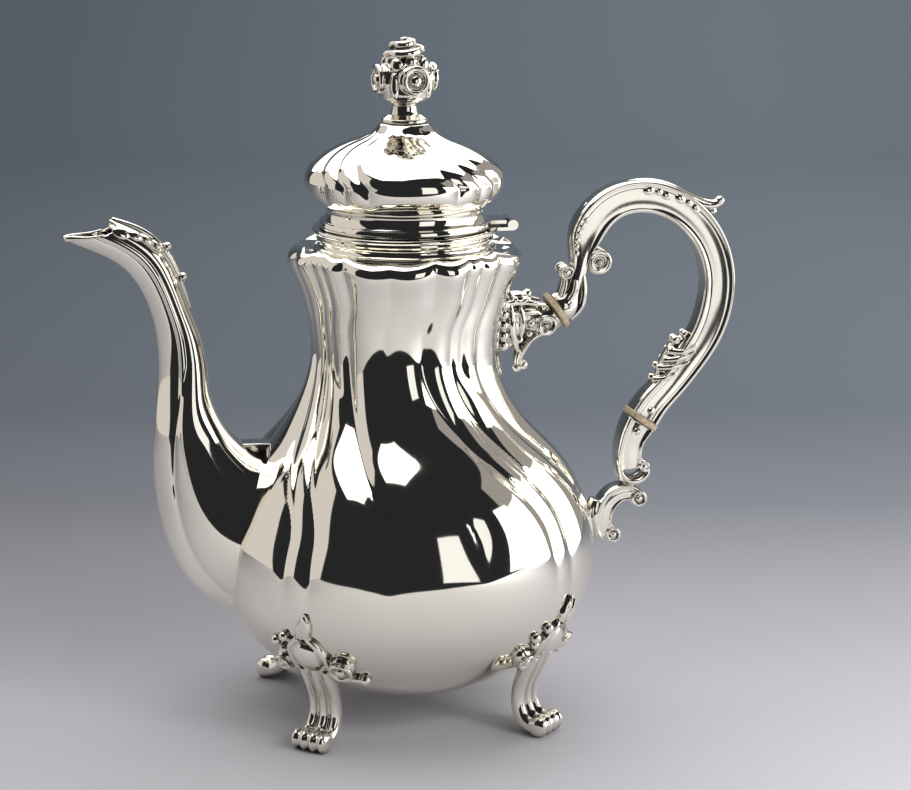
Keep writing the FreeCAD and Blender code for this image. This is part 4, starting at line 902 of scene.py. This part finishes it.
# Handle grip: bordered band, round where it meets the upper insulator, and the ornament on it
quarter_band = smooth_line(BAND_QUARTER, count=14)
half_band = np.vstack([quarter_band, quarter_band[-2::-1] * (-1.0, 1.0)])
band = np.vstack([half_band[:-1], -half_band[:-1]])[:, ::-1]
grip_path = smooth_line(GRIP_LINE, GRIP_ROWS)
roundness = np.clip(grip_path[:, 4], 0.0, 1.0)[:, None, None]
grip_outline = band * (1.0 - roundness) + unit(band) * roundness
grip_piece = flat_bar(grip_path[:, :4], grip_outline, GRIP_ROWS)
mesh_object("grip_band", grip_piece, "handle_grip")
grip_ribs = [GRIP_NECK_RIB]
grip_beads = list(GRIP_SIDE_BALLS)
for places in GRIP_STRANDS:
    grip_ribs.append([(x, y, z, height, width) for (x, z), (y, height, width) in zip(places, STRAND_SHAPE)])
    tip_x, tip_z = places[0]
    grip_beads.append((tip_x, STRAND_BEAD_Y, tip_z, STRAND_BEAD_RADIUS))
grip_pieces = ornament(GRIP_BARS, GRIP_BALLS, GRIP_VOLUTES, grip_ribs, grip_beads)
for x, z, length, width, lean in GRIP_LOBES:
    tilt = math.radians(lean)
    along = np.array((math.cos(tilt), 0.0, -math.sin(tilt)))
    axes = (along, np.cross(along, Y_AXIS), Y_AXIS)
    for side in SIDES:
        grip_pieces.append(ball((x, side * GRIP_LOBE_Y, z), (length, width, GRIP_LOBE_HEIGHT), axes))
mesh_object("grip_ornament", cast(grip_pieces, voxel=0.3, passes=3), "handle_grip")

# Upper socket: leafy bracket on the neck with a volute on each side
upper_pieces = ornament(UPPER_BARS, UPPER_BALLS, UPPER_VOLUTES, UPPER_RIBS, UPPER_SIDE_BALLS)
upper_casting = seated(cast(upper_pieces, voxel=0.3, passes=3))
mesh_object("upper_socket_casting", upper_casting, "upper_socket")

# Lower socket: a J-scroll under the insulator on a C-scroll that stands on the belly
lower_pieces = ornament(LOWER_BARS, [], LOWER_VOLUTES)
lower_pieces += [flat_bar(line, band, count=90) for line in LOWER_BANDS]
lower_casting = seated(cast(lower_pieces, voxel=0.28, passes=2))
mesh_object("lower_socket_casting", lower_casting, "lower_socket")

# Pins with rounded heads
for end, (x, z, axis_x, axis_z) in (("upper", UPPER_INSULATOR), ("lower", LOWER_INSULATOR)):
    for kind, distance in (("_socket_pin", -PIN_DISTANCE), ("_grip_pin", PIN_DISTANCE)):
        pin_x = x + axis_x * distance
        pin_z = z + axis_z * distance
        stations = [(pin_x, y, pin_z, PIN_RADIUS * share, PIN_RADIUS * share) for y, share in PIN_ENDS]
        pin = bar(stations, ROUND, [Z_AXIS] * len(stations))
        mesh_object(end + kind + "_heads", pin, end + kind)


# Feet: one casting turned to four places, made in the frame of a foot along +X
def on_belly(across, z):
    """Place on the belly beside the foot line with its sideways, upward and outward directions."""
    radius, above, below = np.interp((z, z + 1.0, z - 1.0), outer_line[:, 0], outer_line[:, 1])
    turn = across / radius
    outward = unit(np.array((math.cos(turn), math.sin(turn), (below - above) / 2.0)))
    sideways = np.array((-math.sin(turn), math.cos(turn), 0.0))
    place = np.array((radius * math.cos(turn), radius * math.sin(turn), z))
    return place, sideways, np.cross(outward, sideways), outward


def belly_bar(stations, lift=0.0):
    """Bar lying on the belly through distance across, height, half thickness, half width."""
    line = []
    ups = []
    for across, z, thickness, width in stations:
        place, sideways, upward, outward = on_belly(across, z)
        line.append((*(place + outward * lift), thickness, width))
        ups.append(outward)
    return bar(line, ROUND, ups)


foot_pieces = [flat_bar([(r, z, thickness * LEG_CORE_THICKNESS, width * LEG_CORE_WIDTH)
                         for r, z, thickness, width in LEG_LINE])]
for strand in (-1.0, 0.0, 1.0):
    swell = LEG_STRAND_RISE - LEG_SIDE_DROP * abs(strand)
    place = strand * LEG_STRAND_PLACE
    foot_pieces.append(bar([(r, place * width, z, thickness + swell, width * LEG_STRAND_WIDTH)
                            for r, z, thickness, width in LEG_LINE]))
toe_r, toe_z = TOE_CENTRE
for lobe in range(TOE_LOBES):
    y = (lobe - (TOE_LOBES - 1) / 2.0) * TOE_LOBE_PITCH
    size = TOE_RADIUS - TOE_LOBE_DROP * abs(y) / TOE_LOBE_PITCH
    foot_pieces.append(ball((toe_r, y, toe_z), (size, TOE_LOBE_HALF_WIDTH, size)))
toe_core = [(toe_r, side * TOE_CORE_HALF_WIDTH, toe_z, TOE_CORE_RADIUS, TOE_CORE_RADIUS) for side in SIDES]
foot_pieces.append(bar(toe_core, ROUND, [Z_AXIS] * 2))
place, *axes = on_belly(*BOSS_PLACE)
foot_pieces.append(ball(place, BOSS_RADII, axes))
foot_pieces += [belly_bar(line, lift) for lift, line in FOOT_BARS]
for across, z, *shape in FOOT_VOLUTES:
    place, sideways, upward, outward = on_belly(across, z)
    foot_pieces += volute(place, sideways, upward, *shape)
for across, z, radius in FOOT_BEADS:
    place, sideways, upward, outward = on_belly(across, z)
    foot_pieces.append(ball(place + outward * FOOT_BEAD_LIFT, radius))
foot_vertices, foot_faces = cast(foot_pieces, voxel=0.38, passes=3)
foot_vertices[:, 2] = np.maximum(foot_vertices[:, 2], 0.0)
for name, angle in FOOT_ANGLES.items():
    foot_casting = seated(spun((foot_vertices, foot_faces), angle))
    mesh_object(name + "_casting", foot_casting, name)

# Leaf and beads behind the mouth of the spout, its thick rim and the tab over its joint
spout_back = [(inner_x, inner_z) for outer_x, outer_z, inner_x, inner_z, width in SPOUT_SECTIONS]
leaf_rib = []
for (x, z), height in zip(spout_back[::-1], LEAF_RIB_HEIGHTS):
    leaf_rib.append((x, z, height, LEAF_RIB_HALF_WIDTH))
leaf_pieces = [flat_bar(leaf_rib), flat_bar(TAB_LINE, rounded(TAB_CORNERS, TAB_EDGE))]
for share, angle, length, width in LEAF_LOBES:
    for turn in (angle, 360.0 - angle):
        place, *axes = on_spout(share, turn)
        leaf_pieces.append(ball(place, (length, width, LEAF_LOBE_HEIGHT), axes))
for index, lift_x, lift_z in LEAF_BEADS:
    x, z = spout_back[index]
    leaf_pieces.append(ball((x + lift_x, 0.0, z + lift_z), LEAF_BEAD_RADII))
lip_line = []
for angle in range(-LIP_HALF_ANGLE, LIP_HALF_ANGLE + 1, 10):
    column = int(angle / 360.0 * SPOUT_COLUMNS) % SPOUT_COLUMNS
    size = LIP_EDGE + LIP_SWELL * math.cos(math.pi / 2.0 * angle / LIP_HALF_ANGLE) ** 2
    lip_line.append((*lip[column], size, size))
leaf_pieces.append(bar(lip_line))
leaf_casting = seated(cast(leaf_pieces, voxel=0.28, passes=2))
mesh_object("spout_leaf_casting", leaf_casting, "spout")

# Everything else shows its CAD solid
for name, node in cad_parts.items():
    if not node.hide_render:
        node.data.materials.clear()
        node.data.materials.append(FINISHES["insulator" if "insulator" in name else "cast_silver"])

# Stage in metres as the camera sees it: x to its right, y away from it, z up
CAMERA_TURN = math.radians(-12.0)
CAMERA_DOWN = 13.08
CAMERA_PLACE = (0.0, -1.0, 0.356)
CAMERA_LENS = 106.3
CAMERA_SENSOR = 36.0
CAMERA_SHIFT = 0.0557
WHITE = (1.0, 1.0, 1.0)
WARM = (0.66, 0.62, 0.60)
ROOM = (0.019, 0.020, 0.022)
ROOM_SEEN = (0.16, 0.17, 0.19)
# Paper that lies level and curves up behind the pot; painted light and shade set its tones, which go by y
# from light at the front to dark at the back, and make it darker on the left
SWEEP_HALF_WIDTH = 2.0
FLOOR_FRONT = -0.38
FLOOR_MIDDLE = 0.3
SWEEP_START = 1.5
SWEEP_END = 2.1
SWEEP_TOP = 1.1
SWEEP_STEPS = 24
PAPER_LIGHT_AND_SHADE_TONES = [
    (-0.35, (0.95, 0.94, 0.95)), (0.0, (0.57, 0.56, 0.60)), (0.1, (0.45, 0.44, 0.47)),
    (0.3, (0.23, 0.24, 0.27)), (0.5, (0.15, 0.17, 0.20)), (2.0, (0.135, 0.165, 0.195)),
]
PAPER_SHADE_FADE = 0.35
PAPER_LEFT_SHADE = 0.60
# Light panels: a white ceiling, then walls and a window beside the pot as x, front, back, top, colour and
# strength, then boards that face the pot as bearing, distance, width, low, high and strength
CEILING_CORNERS = [(-0.6, -0.65), (-0.05, -0.65), (0.5, -0.1), (2.06, 2.6), (-2.06, 2.6)]
CEILING_HEIGHT = 1.35
CEILING_STRENGTH = 1.8
WALLS = {
    "left_wall": (-1.0, -0.42, 0.9, 1.33, WARM, 1.0),
    "right_wall": (1.08, -0.25, 2.0, 1.33, WARM, 0.5),
    "wall_window": (1.05, -0.25, 0.6, 0.75, WHITE, 2.0),
}
BOARDS = {
    "front_window": (32.0, 0.75, 0.29, 0.01, 0.51, 1.0),
    "side_window": (73.0, 0.75, 0.305, 0.04, 0.60, 2.0),
    "front_fill": (40.0, 1.8, 1.4, 0.2, 1.6, 9.0),
}


def staged(x, y, z):
    """Place in metres given to the right of, behind and above the pot as the camera sees it."""
    return (x * math.cos(CAMERA_TURN) - y * math.sin(CAMERA_TURN),
            x * math.sin(CAMERA_TURN) + y * math.cos(CAMERA_TURN), z)


def stage_mesh(name, vertices, faces, material):
    """Object of the stage, not part of the pot."""
    made = new_object(name, [staged(*vertex) for vertex in vertices], faces)
    made.data.materials.append(material)
    return made


def panel(name, corners, colour, strength):
    """Flat glowing panel that lights the pot and shows in it, but is not seen by the camera."""
    material, tree, shader = new_material(name)
    tree.nodes.remove(shader)
    glow = add_node(tree, "Emission", Color=(*colour, 1.0), Strength=strength)
    set_inputs(tree, tree.nodes["Material Output"], Surface=glow.outputs["Emission"])
    made = stage_mesh(name, corners, [tuple(range(len(corners)))], material)
    made.visible_camera = False
    return made


def board(name, bearing, distance, width, low, high, strength):
    """Upright white panel facing the pot; the bearing is in degrees to the right of the camera."""
    turn = math.radians(bearing)
    middle = np.array((math.sin(turn), -math.cos(turn))) * distance
    side = np.array((math.cos(turn), math.sin(turn))) * width / 2.0
    corners = [(*(middle + side * end), z) for end, z in ((-1, low), (1, low), (1, high), (-1, high))]
    return panel(name, corners, WHITE, strength)


def paper(name):
    """Matt paper with painted light and shade in its tones."""
    material, tree, shader = new_material(name)
    place = add_node(tree, "TexCoord").outputs["Object"]
    turn = add_node(tree, "Mapping", Vector=place, Rotation=(0.0, 0.0, -CAMERA_TURN))
    split = add_node(tree, "SeparateXYZ", Vector=turn.outputs["Vector"])
    near = PAPER_LIGHT_AND_SHADE_TONES[0][0]
    far = PAPER_LIGHT_AND_SHADE_TONES[-1][0]
    # Painted light and shade: the paper is light near the front and darker towards the back
    away = add_node(tree, "MapRange", Value=split.outputs["Y"], From_Min=near, From_Max=far)
    stops = [((distance - near) / (far - near), colour) for distance, colour in PAPER_LIGHT_AND_SHADE_TONES]
    tone = ramp_colour(tree, away.outputs["Result"], stops)
    # Painted shade: the paper is darker on the left
    left_shade = add_node(tree, "MapRange", Value=split.outputs["X"], From_Min=-PAPER_SHADE_FADE, From_Max=PAPER_SHADE_FADE,
                    To_Min=PAPER_LEFT_SHADE)
    shaded_paper = add_node(tree, "Mix")
    shaded_paper.data_type = "RGBA"
    shaded_paper.blend_type = "MULTIPLY"
    set_inputs(tree, shaded_paper, Factor=1.0, A=tone, B=left_shade.outputs["Result"])
    set_inputs(tree, shader, Base_Color=shaded_paper.outputs["Result"], Roughness=0.85, Specular_IOR_Level=0.1)
    return material


# Paper sweep
sweep_line = [(FLOOR_FRONT, 0.0), (FLOOR_MIDDLE, 0.0)]
for step in range(SWEEP_STEPS + 1):
    turn = math.pi / 2.0 * step / SWEEP_STEPS
    reach = SWEEP_END - SWEEP_START
    sweep_line.append((SWEEP_START + reach * math.sin(turn), reach * (1.0 - math.cos(turn))))
sweep_line.append((SWEEP_END, SWEEP_TOP))
sweep_points = [(x, y, z) for y, z in sweep_line for x in (-SWEEP_HALF_WIDTH, SWEEP_HALF_WIDTH)]
sweep_faces = [(2 * i, 2 * i + 1, 2 * i + 3, 2 * i + 2) for i in range(len(sweep_line) - 1)]
stage_mesh("paper_sweep", sweep_points, sweep_faces, paper("studio_paper"))

# Light; the front fill softens the shadows and doesn't show in the silver
panel("ceiling_light", [(x, y, CEILING_HEIGHT) for x, y in CEILING_CORNERS], WHITE, CEILING_STRENGTH)
for name, (x, front, back, top, colour, strength) in WALLS.items():
    panel(name, [(x, front, 0.0), (x, back, 0.0), (x, back, top), (x, front, top)], colour, strength)
for name, values in BOARDS.items():
    made = board(name, *values)
    made.visible_glossy = name != "front_fill"

# World: a dark room, which the camera itself sees as a grey wall
world = bpy.data.worlds.new("studio")
bpy.context.scene.world = world
world.use_nodes = True
tree = world.node_tree
room = tree.nodes["Background"]
set_inputs(tree, room, Color=(*ROOM, 1.0))
room_seen = add_node(tree, "Background", Color=(*ROOM_SEEN, 1.0))
light_path = add_node(tree, "LightPath")
choice = add_node(tree, "MixShader", Fac=light_path.outputs["Is Camera Ray"])
tree.links.new(room.outputs["Background"], choice.inputs[1])
tree.links.new(room_seen.outputs["Background"], choice.inputs[2])
set_inputs(tree, tree.nodes["World Output"], Surface=choice.outputs["Shader"])

camera_data = bpy.data.cameras.new("camera")
camera_data.lens = CAMERA_LENS
camera_data.sensor_width = CAMERA_SENSOR
camera_data.shift_x = CAMERA_SHIFT
camera = bpy.data.objects.new("camera", camera_data)
camera.location = staged(*CAMERA_PLACE)
camera.rotation_euler = (math.radians(90.0 - CAMERA_DOWN), 0.0, CAMERA_TURN)
bpy.context.scene.collection.objects.link(camera)
bpy.context.scene.camera = camera
bpy.context.scene.view_settings.view_transform = "Standard"
